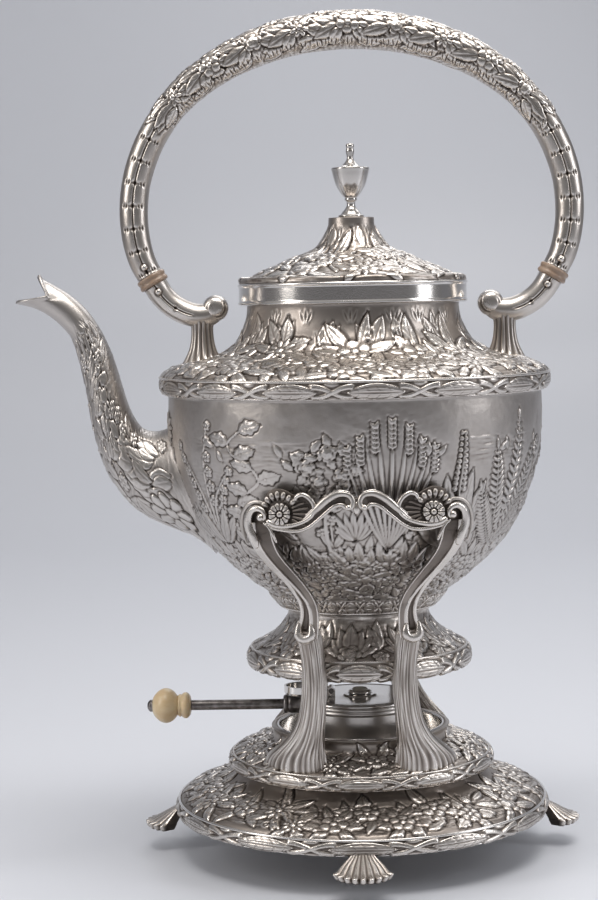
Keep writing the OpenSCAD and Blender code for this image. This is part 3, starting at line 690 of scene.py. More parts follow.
def ivory_material(name, pale, deep, coat=0.35):
    m, nt, p = material(name)
    co = node(nt, "ShaderNodeTexCoord")
    n = node(nt, "ShaderNodeTexNoise", Scale=160.0, Detail=4.0, Roughness=0.65)
    mp = node(nt, "ShaderNodeMapping")
    mp.inputs["Scale"].default_value = (0.35, 1.0, 1.0)
    nt.links.new(co.outputs["Object"], mp.inputs["Vector"])
    nt.links.new(mp.outputs[0], n.inputs["Vector"])
    c = ramp(nt, [(0.25, deep), (0.5, tuple((a + b) / 2 for a, b in zip(deep, pale))), (0.75, pale)])
    nt.links.new(n.outputs["Fac"], c.inputs[0])
    nt.links.new(c.outputs[0], p.inputs["Base Color"])
    r = node(nt, "ShaderNodeMapRange")
    nt.links.new(n.outputs["Fac"], r.inputs["Value"])
    r.inputs["To Min"].default_value = 0.26
    r.inputs["To Max"].default_value = 0.42
    nt.links.new(r.outputs["Result"], p.inputs["Roughness"])
    b = node(nt, "ShaderNodeBump", Strength=0.12, Distance=0.0003)
    nt.links.new(n.outputs["Fac"], b.inputs["Height"])
    nt.links.new(b.outputs[0], p.inputs["Normal"])
    p.inputs["Subsurface Weight"].default_value = 0.15
    p.inputs["Subsurface Radius"].default_value = (0.004, 0.0025, 0.0015)
    p.inputs["Coat Weight"].default_value = coat
    p.inputs["Coat Roughness"].default_value = 0.15
    return m


STEEL = steel_material()
IVORY = ivory_material("aged_ivory", (0.80, 0.66, 0.42), (0.66, 0.46, 0.25))
INSULATOR = ivory_material("insulator_ring", (0.40, 0.29, 0.21), (0.21, 0.14, 0.10), 0.25)


def cotton_material():
    m, nt, p = material("cotton_wick")
    co = node(nt, "ShaderNodeTexCoord")
    w = node(nt, "ShaderNodeTexWave", Scale=900.0, Distortion=2.0)
    nt.links.new(co.outputs["Object"], w.inputs["Vector"])
    c = ramp(nt, [(0.0, (0.45, 0.40, 0.32)), (1.0, (0.80, 0.76, 0.66))])
    nt.links.new(w.outputs["Fac"], c.inputs[0])
    nt.links.new(c.outputs[0], p.inputs["Base Color"])
    b = node(nt, "ShaderNodeBump", Strength=0.5, Distance=0.0004)
    nt.links.new(w.outputs["Fac"], b.inputs["Height"])
    nt.links.new(b.outputs[0], p.inputs["Normal"])
    p.inputs["Roughness"].default_value = 0.9
    return m


COTTON = cotton_material()


# ------------------------------------------------------- turned and chased
def chased(name, outer, inner, nt, body, nodes, mat, draw, dens=0.5, slot="silver", shift=-0.3, cav_args=None, flat=None, fade=1.2, before=None, soft=0.0, lean=0.0, back_step=2.5, worn=None):
    """A raised sheet: a relief on its outer profile, which runs upwards, and a plain back. draw fills the field, and soft rounds it off by so many mm. before is a plain part ahead of the relief. worn says where the relief is low, from 0 to 1."""
    nt = int(nt * FINE)
    line = smooth_line(outer, dens / FINE)
    s = arc_of(line)
    F = Field(s, np.maximum(line[:, 0], 1.0), nt)
    F.flat = lean
    draw(F, line)
    H = blurred(F.H, soft / np.median(np.diff(s)), soft / (np.median(F.r) * F.d)) if soft else F.H
    edge = smoothstep(0, fade, s) * smoothstep(0, fade, s[-1] - s)
    cav = cavity(F, **(cav_args or {}))
    if flat is not None:
        cav = flat(F, line, cav)
    H = H + shift
    if worn is not None:
        w = worn(F, line)
        H = H * (1 - 0.85 * w) + (shift - 0.3) * 0.85 * w
    pre = np.zeros((0, 2)) if before is None else smooth_line(before, 8.0)
    back = smooth_line(inner, back_step)
    full = np.concatenate([pre, line, back])
    disp = np.concatenate([np.zeros((len(pre), nt)), H * edge[:, None], np.zeros((len(back), nt))])
    cv = np.concatenate([np.full((len(pre), nt), 0.6), cav, np.full((len(back), nt), 0.6)])
    closed = not (full[0, 0] < 1e-6 or full[-1, 0] < 1e-6)
    sh = Shape()
    # normals of the outer profile only, so that its edge rows don't lean
    n = line_normals(line)
    th = np.arange(nt) * TAU / nt
    nn = np.concatenate([np.zeros((len(pre), 2)), n, np.zeros((len(back), 2))])
    r = full[:, 0:1] + disp * nn[:, 0:1]
    z = full[:, 1:2] + disp * nn[:, 1:2]
    co = np.stack([r * np.cos(th), r * np.sin(th), z + 0 * r], 2)
    if closed:
        sh.add(co.reshape(-1, 3), grid(len(full), nt, True, True), (), cv)
    else:
        a = 1 if full[0, 0] < 1e-6 else 0
        b = len(full) - (1 if full[-1, 0] < 1e-6 else 0)
        pts, tris, j = [co[a:b].reshape(-1, 3)], [], np.arange(nt)
        cvs = [cv[a:b].ravel()]
        for i in (0, len(full) - 1):
            if full[i, 0] < 1e-6:
                k = sum(len(p) for p in pts)
                pts.append([[0, 0, full[i, 1]]])
                cvs.append([0.6])
                row = 0 if i == 0 else (b - a - 1) * nt
                t = np.stack([row + j, row + (j + 1) % nt, np.full(nt, k)], 1)
                tris.append(t[:, ::-1] if i == 0 else t)
        sh.add(np.concatenate(pts), grid(b - a, nt, False, True), np.concatenate(tris), np.concatenate(cvs))
    ob = sh.object(name, mat, body, nodes, slot)
    return ob, F


def turned(name, pts, nt, body, nodes, mat, slot=None, step=0.6, cav=0.74, closed=True, centre=(0, 0)):
    sh = Shape()
    line = smooth_line(pts, step)
    revolve(sh, line[:-1] if closed else line, nt, closed=closed, cav=cav, centre=centre)
    return sh.object(name, mat, body, nodes, slot)


# ------------------------------------------------------------------ kettle
def draw_bowl(F, line):
    g = np.random.default_rng(11)
    s_at = lambda z: float(np.interp(z, line[:, 1], F.s))
    # the planished ground
    for cells, high in ((5.0, 0.06), (1.3, 0.016)):
        n = blurred(g.standard_normal(F.H.shape), cells, cells)
        F.H += high * n / n.std()
    # a bank of leaves and small flowers on the lower bowl
    flora(F, g, s_at(110), s_at(137), size=4.1, A=0.75)
    for i in range(96):
        th = TAU * i / 96 + g.random() * 0.05
        leaf(F, th, s_at(134) - 3 * g.random(), math.pi / 2 + (g.random() - 0.5) * 1.2, 8 + 6 * g.random(), 1.9 + 0.8 * g.random(), 0.6, bend=(g.random() - 0.5) * 0.7, keep=0.2)
    r = 85.0
    s0 = s_at(139)
    k = 16
    # low growth in front of the tall plants: tufts, small flowers and rounded bushes
    for i in range(2 * k):
        th = TAU * (i + 0.1) / (2 * k) + (g.random() - 0.5) * 0.08
        up = s_at(143) + 5 * g.random()
        if i % 3 == 0:
            for a in np.linspace(-1.1, 1.1, 7):
                leaf(F, th, up - 4, math.pi / 2 + a, 15 - 4 * abs(a) + 3 * g.random(), 1.7, 0.6, bend=-0.45 * a, veins=0)
        elif i % 3 == 1:
            for _ in range(16):
                a, q = g.random() * TAU, 7 * math.sqrt(g.random())
                leaf(F, th + q * math.cos(a) / r, up + 4 + 0.9 * q * math.sin(a), g.random() * TAU, 5.2, 1.7, 0.6, bend=0.3 * (g.random() - 0.5), lobes=3)
        else:
            for a, q in ((0.4, 5.5), (1.6, 8.5), (2.8, 5.0)):
                x, y = th + q * math.cos(a) / r, up + 3 + q * math.sin(a)
                stem(F, [(th, up - 4), ((th + x) / 2, (up + y) / 2), (x, y)], 0.6, 0.45, 0.5)
                flower(F, x, y, 3.2, 6, 0.8, g.random() * 6, 0.2, "round")
            for a in (-0.8, 0.8):
                leaf(F, th, up - 3, math.pi / 2 + a, 9, 1.8, 0.6, bend=-a * 0.4)
    # tall plants, each of its own kind
    for i in range(k):
        th = TAU * (i + 0.5) / k + (g.random() - 0.5) * 0.06
        kind = (i * 3) % 8
        lean = (g.random() - 0.5) * 0.25
        if kind == 0:  # an open flower on a tall leafy stem
            stem(F, [(th, s0), (th + 0.02, s0 + 15), (th - 0.01, s0 + 33), (th + lean * 0.1, s0 + 50)], 0.9, 0.6, 0.7)
            for j, sd in ((8, 1), (13, -1), (20, 1), (26, -1), (33, 1), (39, -1)):
                leaf(F, th, s0 + j, math.pi / 2 + sd * 0.95, 13 - 0.12 * j, 3.0, 0.75, bend=-sd * 0.35, lobes=3)
            flower(F, th + lean * 0.1, s0 + 55, 7.8, 10, 1.0, g.random(), 0.2, "point")
        elif kind == 1:  # a rose bush on its stem
            stem(F, [(th, s0), (th - 0.01, s0 + 12), (th + 0.01, s0 + 28)], 1.1, 0.8, 0.7)
            for j in range(52):
                a, q = g.random() * TAU, 14 * math.sqrt(g.random())
                leaf(F, th + q * math.cos(a) / r, s0 + 34 + 1.15 * q * math.sin(a), g.random() * TAU, 6.6, 2.0, 0.65, bend=0.3 * (g.random() - 0.5), lobes=3)
            for a, q in ((0.3, 8.5), (2.4, 9), (4.2, 9.5), (5.5, 10), (1.4, 13), (3.2, 2.0)):
                rose(F, th + q * math.cos(a) / r, s0 + 34 + q * math.sin(a), 3.9, 0.95, a)
        elif kind == 2:  # fern fronds
            for a, L in ((0.0, 60), (0.40, 49), (-0.40, 50), (0.85, 33), (-0.85, 33)):
                fern(F, th, s0 - 2, math.pi / 2 + a, L, 16, 1.1, 7.0, bend=-0.35 * a, A=0.62)
        elif kind == 3:  # bells on arching stalks
            for a, L in ((0.15, 58), (-0.35, 48), (0.55, 38)):
                p = [(th, s0), (th + math.sin(a) * 0.3 * L / r, s0 + 0.6 * L), (th + math.sin(a) * L / r, s0 + L)]
                stem(F, p, 0.8, 0.5, 0.6)
                for q in (0.4, 0.52, 0.64, 0.76, 0.88, 1.0):
                    x = th + math.sin(a) * (0.5 * q + 0.5 * q * q) * L / r
                    flower(F, x + 3.4 * math.copysign(1, a) * (1.1 - q) / r, s0 + q * L, 3.5 - 1.2 * q, 5, 0.8, -math.pi / 2, 0.2, "round")
            for a in (-1.0, 1.0, -0.6, 0.7):
                leaf(F, th, s0 + 1, math.pi / 2 + a, 21, 3.0, 0.7, bend=-a * 0.4)
        elif kind == 4:  # a sheaf of grasses and ears
            for a in np.linspace(-0.7, 0.7, 9):
                L = 58 - 16 * abs(a) + 4 * g.random()
                leaf(F, th, s0 - 1, math.pi / 2 + a * 0.7, L, 1.0, 0.5, bend=-a * 0.25, veins=0, rib=0.0)
                x, y = th - math.sin(a * 0.7) * L * 0.98 / r, s0 + math.cos(a * 0.7) * L * 0.95
                if abs(a) < 0.6:
                    for j in range(6):
                        for sd in (-1, 1):
                            leaf(F, x, y - 9 + j * 2.1, math.pi / 2 + a + sd * 0.5, 3.3, 0.95, 0.65, veins=0, keep=0.1, rib=0)
        elif kind == 5:  # daisies among lobed leaves
            spots = ((0.2, 7), (1.6, 15), (2.7, 9), (1.2, 26), (1.95, 33), (0.9, 36))
            for a, q in spots:
                x, y = th + 0.8 * q * math.cos(a) / r, s0 + 14 + q * math.sin(a)
                stem(F, [(th, s0), ((th + x) / 2 + 0.01, (s0 + y) / 2), (x, y)], 0.7, 0.5, 0.5)
            for j in range(20):
                a, q = g.random() * TAU, 14 * math.sqrt(g.random())
                leaf(F, th + 0.8 * q * math.cos(a) / r, s0 + 20 + 1.3 * q * math.sin(a), g.random() * TAU, 9, 2.5, 0.65, bend=0.5 * (g.random() - 0.5), lobes=4)
            for a, q in spots:
                flower(F, th + 0.8 * q * math.cos(a) / r, s0 + 14 + q * math.sin(a), 4.8, 10, 0.9, a, 0.2, "notch")
        elif kind == 6:  # a twining vine
            pts = [(th + 7.5 * math.sin(j * 1.25) / r, s0 + j * 5.6) for j in range(11)]
            stem(F, pts, 0.9, 0.5, 0.65)
            for j in range(1, 11):
                sd = 1 if j % 2 else -1
                leaf(F, pts[j][0], pts[j][1], math.pi / 2 + sd * 1.1, 11.5, 3.7, 0.75, bend=0.3 * sd, lobes=3, veins=4)
                curl(F, pts[j][0] - sd * 3.6 / r, pts[j][1] + 1.5, 2.4, 0.0, 1.2, 0.45, 0.5, sd)
        else:  # broad leaves round a tall spike of buds
            for a, L in ((-0.95, 28), (0.95, 28), (-0.55, 34), (0.55, 33), (-0.2, 38), (0.24, 36)):
                leaf(F, th, s0, math.pi / 2 + a, L, 4.6, 0.75, bend=-0.4 * a, veins=8, keep=0.2)
            stem(F, [(th, s0 + 10), (th + 0.01, s0 + 54)], 1.0, 0.6, 0.7)
            for j in range(11):
                for sd in (-1, 1):
                    bud(F, th + sd * (2.5 - 0.16 * j) / r, s0 + 29 + 2.5 * j, 1.6 - 0.07 * j, 0.9)
    # leaves adrift in the clear band above
    for i in range(k):
        th = TAU * i / k + 0.1 * (g.random() - 0.5)
        if i % 3:
            leaf(F, th, s_at(180) + 6 * g.random(), 0.3 + 2.4 * g.random(), 6.5, 1.5, 0.45, bend=0.3, veins=0)
            leaf(F, th + 0.06, s_at(176) + 6 * g.random(), 0.3 + 2.4 * g.random(), 5.5, 1.3, 0.45, bend=-0.3, veins=0)
    ground(F, g, 0, s_at(141), 0.06)
    # short strokes shade the ground between the plants
    i0, i1 = np.searchsorted(F.s, [s_at(139), s_at(188)])
    m = blurred(g.standard_normal((i1 - i0, F.nt)), 0.6, 4.0)
    patch = blurred(g.standard_normal((i1 - i0, F.nt)), 12, 16)
    F.H[i0:i1] += 0.05 * m / m.std() * np.clip(0.3 + patch / patch.std(), 0, 1.5) * (1 - F.top[i0:i1])


BOWL_OUT = [(33.4, 104.6), (33.6, 104.8), (36.6, 107.9), (40, 111.2), (46.6, 116), (54.2, 121.9), (62.3, 129.2), (69.3, 137), (75, 146), (79.8, 157), (83.6, 168.6), (85.9, 178), (87, 188), (87.3, 197), (87.1, 205.7)]
BOWL_IN = [(85.6, 205.7), (85.6, 188), (84.6, 178), (82.2, 169), (78.4, 157.6), (73.6, 146.8), (68, 138), (60.9, 130.2), (52, 122.4), (42.8, 115.2), (37, 111), (32.4, 106.2), (10, 106), (0, 106)]


def bowl_flat(F, line, cav):
    # leaves and ground have nearly the same tone on the upper bowl, and the lines between them are dark
    z = line[:, 1][:, None]
    k = smoothstep(128, 142, z)
    soft = np.where(cav > 0.62, 0.62 + 0.45 * (cav - 0.62), cav)
    return np.clip(cav * (1 - k) + soft * k, 0, 1)


def bowl_worn(F, line):
    """The bowl passes close behind the left legs' heads as it tilts, so its relief is low there."""
    z = line[:, 1][:, None]
    a = np.degrees(np.arange(F.nt) * TAU / F.nt)[None, :]
    a = np.abs((a + 180) % 360 - 180)
    return smoothstep(157, 163, z) * (1 - smoothstep(173, 178, z)) * smoothstep(102, 107, a) * (1 - smoothstep(124, 129, a))


chased("bowl_relief", BOWL_OUT, BOWL_IN, 1060, "kettle", ["bowl"], SOFT, draw_bowl, dens=0.5, before=[(0, 104.6), (33.2, 104.6)], lean=0.35, back_step=5.0, flat=bowl_flat, worn=bowl_worn, cav_args=dict(near=0.75, far=2.2, gain=0.85, gain_far=0.45, mid=0.62))


def draw_shoulder(F, line):
    g = np.random.default_rng(23)
    s_at = lambda z: float(np.interp(z, line[:, 1], F.s))
    # leaves that stand up the neck in groups, cut rather than raised, and light strokes over them
    for i in range(17):
        th = TAU * i / 17 + (g.random() - 0.5) * 0.12
        base = s_at(227.0) + 2 * g.random()
        for a in ((-0.75, -0.25, 0.3), (-0.5, 0.15, 0.7), (-0.3, 0.35), (0.0, 0.55, -0.6))[i % 4]:
            leaf(F, th, base, math.pi / 2 + a + 0.2 * (g.random() - 0.5), 11 + 6 * g.random(), 2.6 + 1.2 * g.random(), 0.5, bend=-a * 0.5, veins=3, rib=0.6, keep=0.1)
        t2 = th + TAU / 34
        for j in range(3):
            leaf(F, t2 + 0.022 * j, s_at(238.5) + 0.5 * (j == 1), math.pi / 2 - 0.38 * (j - 1), 4.6, 0.34, -0.28, veins=0, rib=0)
        for j in range(12):
            leaf(F, th + 0.18 * (g.random() - 0.5), s_at(229) + 3 * g.random(), math.pi / 2 + 0.8 * (g.random() - 0.5), 5, 0.34, -0.25, veins=0, rib=0)
    flora(F, g, s_at(214.6), s_at(229.5), size=6.3, A=1.05, bed=0.8)
    ground(F, g, 0, s_at(229), 0.06)


chased(
    "shoulder_relief",
    [(90.5, 213.6), (90.1, 214.5), (88.6, 215.7), (86.4, 216.9), (84.6, 217.8), (79, 219.5), (70, 221.7), (61.5, 224.3), (56, 228.2), (52.4, 233.4), (50.3, 239), (49.6, 243.4), (49.6, 246.5)],
    [(48.2, 246.5), (48.2, 242.6), (49, 237.4), (51.4, 232), (55, 227), (60.4, 223), (70, 220), (79, 217.9), (84.8, 216), (85.6, 214), (85.6, 205.8), (85.6, 205.8), (86.9, 205.8)],
    1000, "kettle", ["shoulder"], RELIEF, draw_shoulder, dens=0.5, soft=0.36, lean=0.6, fade=0.8,
)


def draw_lid(F, line):
    g = np.random.default_rng(31)
    s_at = lambda r: float(np.interp(-r, -line[:, 0], F.s))
    s_hi = s_at(14.5)
    for i in range(11):
        th = TAU * i / 11 + 0.2 * (g.random() - 0.5)
        leaf(F, th, s_at(17.5), math.pi / 2 + 0.35 * (g.random() - 0.5), 9 + 3 * g.random(), 2.3, 0.4, bend=0.4 * (g.random() - 0.5), veins=3)
        leaf(F, th + 0.28, s_at(13.5), math.pi / 2 + 0.3 * (g.random() - 0.5), 4.5, 0.4, -0.3, veins=0, rib=0)
    flora(F, g, s_at(46.4), s_at(17.5), size=6.0, A=1.0, bed=0.8)
    ground(F, g, 0, s_hi, 0.06)


chased(
    "lid_relief",
    [(52.9, 256.2), (53, 256.4), (53, 256.4), (53.1, 257.6), (52.6, 258.6), (51.6, 259), (51.6, 259), (47.6, 259.1), (47.6, 259.1), (46.6, 259.5), (42.5, 261.1), (34.5, 264.6), (27, 268), (20, 270.6), (16.2, 273.6), (12.8, 278.6), (11.2, 282), (10.9, 285), (10.8, 286), (10.8, 286), (5, 286.05), (0, 286.05)],
    [(0, 284.8), (0, 284.8), (9.4, 284.8), (9.8, 281.6), (11.4, 277.6), (15, 272.6), (19, 269.4), (26.5, 266.6), (34, 263.2), (42, 259.8), (46, 258.3), (46, 258.3), (46, 256.2)],
    820, "lid", ["lid_dome"], RELIEF, draw_lid, dens=0.48, soft=0.34, lean=0.55,
)


def wire(shape, r, z, rad=0.5, nt=360, k=10, cav=0.8):
    a = np.arange(k) * TAU / k
    ring = np.stack([r + rad * np.cos(a), z + rad * np.sin(a)], 1)
    th = np.arange(nt) * TAU / nt
    co = np.stack([ring[:, 0:1] * np.cos(th), ring[:, 0:1] * np.sin(th), ring[:, 1:2] + 0 * th], 2)
    shape.add(co.reshape(-1, 3), grid(k, nt, True, True), (), cav)
    return shape


def wire_piece(name, rings, body, mat, slot="silver"):
    sh = Shape()
    for r, z, rad in rings:
        wire(sh, r, z, rad, 420)
    return sh.object(name, mat, body, (), slot)


def rim(name, outer, inner, repeats, nt, body, nodes, A=1.1, phase=0.0, keep_clear=0.5):
    def draw(F, line):
        ribbon_band(F, keep_clear, F.s[-1] - keep_clear, repeats, A, phase)

    return chased(name, outer, inner, nt, body, nodes, CAST, draw, dens=0.36, fade=0.5, shift=0.0, cav_args=dict(near=0.7, far=2.0, gain=0.5, gain_far=0.25, mid=0.6))


def draw_skirt(F, line):
    g = np.random.default_rng(41)
    s_at = lambda z: float(np.interp(z, line[:, 1], F.s))
    for i in range(10):
        th = TAU * (i + 0.35) / 10 + 0.06 * (g.random() - 0.5)
        t2 = th + TAU / 20
        for a in (-0.2, 0.3):
            leaf(F, t2, s_at(90.5), math.pi / 2 + a + 0.2 * (g.random() - 0.5), 12 + 3 * g.random(), 2.9, 0.7, bend=-0.4 * a, veins=3, keep=0.1)
        for a in (-1.55, 1.55, -1.0, 1.0, -0.5, 0.5, 0.0):
            leaf(F, th, s_at(89.3), math.pi / 2 + a, 15 - 2.2 * abs(a) + 1.5 * g.random(), 3.5, 0.75, bend=-0.22 * a, veins=3, keep=0.15, lobes=3 if abs(a) > 1.2 else 0)
        if i % 2:
            rose(F, th, s_at(89.0), 5.6, 1.1, g.random() * 6)
        else:
            flower(F, th, s_at(89.2), 6.4, 6, 1.05, g.random() * 6, 0.2, "round")
        flower(F, t2, s_at(88.0), 4.0, 5, 0.9, g.random() * 6, 0.2, "round")
    ground(F, g, 0, F.s[-1], 0.05)


chased(
    "foot_relief",
    [(50.4, 86.2), (47.5, 87.7), (42, 90.9), (37, 95.3), (34, 100.1), (33.3, 102.9), (33.5, 104.4)],
    [(32.4, 104.4), (32.4, 104.4), (31.9, 102.8), (32.6, 99.5), (36, 94.2), (41.2, 89.6), (46.8, 86.6), (49, 86.1)],
    560, "kettle", ["foot_skirt"], RELIEF, draw_skirt, dens=0.5, soft=0.35, lean=0.35, cav_args=dict(near=1.0, far=2.8, gain=0.5, gain_far=0.3, mid=0.6),
)
rim("foot_rim", [(49.3, 77.3), (50.9, 77.4), (52.0, 78.4), (52.5, 80.4), (52.5, 82.4), (52.0, 84.3), (50.7, 85.9)], [(49.0, 85.9), (49.0, 85.9), (49.0, 77.4)], 10, 760, "kettle", ["foot_border"], 1.1, 0.0)
wire_piece("foot_wires", [(50.6, 86.2, 0.5), (50.4, 77.5, 0.35)], "kettle", CAST)
rim("waist_leaves", [(36.0, 106.2), (37.2, 106.2), (38.3, 107.2), (39.6, 108.9), (41.0, 110.5), (42.0, 111.9), (42.1, 112.8)], [(41.4, 113.2), (41.4, 113.2), (36.0, 107.6)], 30, 760, "kettle", ["waist_ring"], 0.8, 0.4, 0.5)
wire_piece("waist_wires", [(36.6, 105.9, 0.7)], "kettle", CAST)
rim("girdle_rim", [(87.2, 205.8), (88.9, 206.1), (90.0, 207.4), (90.6, 209.4), (90.8, 211.2), (90.6, 212.6), (90.0, 213.3)], [(87.0, 213.3), (87.0, 213.3), (87.0, 205.8)], 15, 1300, "kettle", ["girdle_band"], 0.95, 0.0)
wire_piece("girdle_wires", [(90.6, 213.5, 0.6), (88.6, 205.9, 0.4)], "kettle", CAST)


def draw_lower(F, line):
    g = np.random.default_rng(53)
    s_at = lambda r: float(np.interp(-r, -line[:, 0], F.s))
    a, b = s_at(83.6), s_at(64.5)
    for i in range(34):
        th = TAU * i / 34 + 0.1 * (g.random() - 0.5)
        leaf(F, th, s_at(70), math.pi / 2 + 1.1 * (g.random() - 0.5), 7 + 4 * g.random(), 2.0, 0.8, bend=0.5 * (g.random() - 0.5))
    flora(F, g, a, b, size=5.4, A=0.95, gap=3.1, bed=0.5)
    ground(F, g, a, s_at(64), 0.09)


chased(
    "base_lower_relief",
    [(85.6, 14.9), (85.3, 15.7), (84.6, 16.6), (83.4, 17.3), (78, 19.4), (71, 21.7), (66, 23.1), (62, 24.7), (58.7, 26.9), (57.1, 29.2), (56.8, 30)],
    [(56.6, 30), (45, 30), (45, 30), (45, 28.6), (45, 28.6), (55.4, 28.6), (57, 25.8), (61, 23.1), (65.4, 21.6), (71, 20.2), (78, 18), (82.6, 16.2), (83.5, 15), (83.5, 8), (83.5, 8)],
    1000, "stand", ["base_lower_shell"], RELIEF, draw_lower, dens=0.5, before=[(85, 8), (85, 14.7)], soft=0.28, lean=0.4, fade=0.8, cav_args=dict(near=0.9, far=2.6, gain=0.6, gain_far=0.4, mid=0.5),
)
rim("base_rim", [(85.1, 8.1), (86.3, 8.3), (87.1, 9.3), (87.4, 11.1), (87.1, 12.9), (86.5, 14.0), (85.6, 14.5)], [(84.5, 14.5), (84.5, 14.5), (84.5, 8.2)], 12, 1240, "stand", ["lower_border"], 1.2, 0.5)
wire_piece("base_wires", [(86.2, 14.8, 0.65), (85.8, 8.2, 0.4)], "stand", PLAIN)


def draw_upper(F, line):
    g = np.random.default_rng(67)
    s_at = lambda r: float(np.interp(-r, -line[:, 0], F.s))
    flora(F, g, s_at(58.8), s_at(43.2), size=4.5, A=1.0)
    ground(F, g, s_at(58.8), s_at(42), 0.06)


chased(
    "base_upper_relief",
    [(60.1, 35.2), (60, 35.7), (59.6, 36.4), (58.4, 37.3), (52, 40.4), (46, 42.3), (42.1, 43.3), (41.5, 44.2), (41.4, 46.6), (41.9, 47.6), (42.3, 48.3), (41.8, 48.9), (40.6, 48.9)],
    [(39.7, 48.4), (39.7, 48.4), (39.7, 43), (42, 41.8), (46, 40.8), (52, 38.9), (57.6, 36.2), (58.5, 35), (58.5, 30), (58.5, 30)],
    800, "stand", ["base_upper_shell"], RELIEF, draw_upper, dens=0.48, before=[(60, 30), (60, 35)], soft=0.25, lean=0.4, fade=0.8,
)
rim("stand_rim", [(60.1, 30.1), (61.1, 30.3), (61.9, 31.6), (62.1, 33), (61.8, 34.4), (61.1, 35.5), (60.2, 35.8)], [(59.6, 35.8), (59.6, 35.8), (59.6, 30.2)], 11, 900, "stand", ["upper_border"], 1.15, 0.25)
wire_piece("stand_wires", [(60.3, 36.2, 0.5), (60.6, 30.2, 0.35)], "stand", CAST)

turned("lamp_well", [(0.02, 36.5), (36.5, 36.5), (38.8, 36.9), (39.5, 38), (39.55, 48.2), (39.55, 48.2), (39.2, 49.0), (38.5, 48.9), (38.2, 48.2), (38.2, 48.2), (38.2, 39.2), (37.4, 38.1), (36, 37.9), (0.02, 37.9)], 220, "stand", ["lamp_well"], PLAIN, "polished_silver", closed=False)


# ------------------------------------------------------- neck, finial, lamp
turned("neck_band", [(49.7, 245.9), (49.7, 245.9), (52.2, 246.0), (53.3, 246.5), (53.4, 247.2), (52.9, 247.8), (52.9, 247.8), (52.95, 254.4), (52.95, 254.4), (53.5, 254.9), (53.5, 255.6), (52.9, 256.05), (52.9, 256.05), (46.8, 256.05), (46.8, 256.05), (46.8, 246.4), (46.8, 246.4), (48.4, 246.0), (49.7, 245.9)], 300, "kettle", ["neck_band"], PLAIN, "polished_silver")
turned("lid_bezel", [(44.8, 250), (44.8, 250), (45.2, 249.7), (46, 250.2), (46, 250.2), (46, 258.4), (46, 258.4), (44.8, 258.4), (44.8, 258.4), (44.8, 250)], 220, "lid", ["lid_bezel"], PLAIN, "polished_silver")
FINIAL = [(0, 281.8), (1.5, 281.8), (1.5, 281.8), (1.6, 286), (1.6, 286), (5.8, 286.1), (5.9, 286.9), (5.0, 287.2), (4.2, 288.3), (2.6, 290.2), (1.9, 292), (2.3, 293.4), (2.9, 294.0), (2.7, 294.9), (3.6, 295.8), (5.0, 297.8), (6.9, 301.3), (8.0, 304.8), (8.6, 307.4), (8.85, 308.3), (8.6, 308.9), (8.0, 308.8), (8.0, 308.8), (6.6, 309.1), (4.6, 309.6), (3.4, 310.4), (2.5, 311.4), (1.8, 312.5), (1.5, 313.6), (1.75, 315.2), (1.98, 316.6), (1.7, 317.9), (1.95, 318.6), (1.7, 319.7), (0.9, 320.15), (0, 320.3)]


def flute(co):
    # the lower bowl of the little urn is fluted
    r = np.hypot(co[:, 0], co[:, 1])
    a = np.arctan2(co[:, 1], co[:, 0])
    k = smoothstep(294.5, 297, co[:, 2]) * (1 - smoothstep(299.5, 302.5, co[:, 2]))
    f = 1 + 0.035 * k * (np.abs(np.cos(6 * a)) - 0.6)
    co[:, 0] *= f
    co[:, 1] *= f
    return co


sh = Shape()
revolve(sh, smooth_line(FINIAL, 0.35), 120, closed=False, cav=0.62)
sh.co[0] = flute(sh.co[0])
sh.object("finial", PLAIN, "lid", ["finial"], "polished_silver")

turned("lamp_drum", [(0, 37.9), (23.6, 37.9), (23.6, 37.9), (24.6, 38.2), (25.0, 39.0), (24.5, 39.8), (24.5, 39.8), (24.2, 40.6), (24.6, 43), (25.5, 47.5), (26.1, 52), (26.2, 56.4), (26.2, 56.4), (26.9, 56.7), (27.0, 57.6), (26.4, 58.0), (26.4, 58.0), (27.2, 58.4), (27.4, 59.5), (26.6, 60.2), (26.6, 60.2), (0, 60.2)], 240, "lamp", ["lamp_reservoir"], SOFT, "polished_silver", closed=False, cav=0.9)
turned("lamp_lid", [(5.05, 60.2), (5.05, 60.2), (27.0, 60.2), (27.0, 60.2), (27.7, 60.5), (27.8, 61.1), (27.3, 61.6), (26.5, 61.7), (25.6, 61.4), (24.6, 61.5), (8, 61.7), (7.0, 62.1), (6.0, 62.1), (5.05, 61.8), (5.05, 61.8), (5.05, 60.2)], 220, "lamp", ["lamp_top"], PLAIN, "polished_silver", step=0.4)
turned("wick_tube", [(3.45, 52), (3.45, 52), (5, 52), (5, 52), (5, 62.4), (5.5, 62.8), (5.5, 63.4), (5, 63.8), (4.6, 64.2), (3.6, 64.2), (3.45, 64), (3.45, 52)], 96, "lamp", ["wick_collar"], PLAIN, "polished_silver", step=0.4)


def turned_x(name, pts, nt, body, nodes, mat, slot, cav=0.72):
    """Turned about the handle's axis, which runs along X at the height of the rod. Points are x and radius."""
    line = smooth_line([(r, x) for x, r in pts], 0.35)
    sh = Shape()
    revolve(sh, line, nt, closed=False, cav=cav)
    c = sh.co[0].copy()
    sh.co[0] = np.stack([c[:, 2], c[:, 1], c[:, 0] + 57.7], 1)
    return sh.object(name, mat, body, nodes, slot)


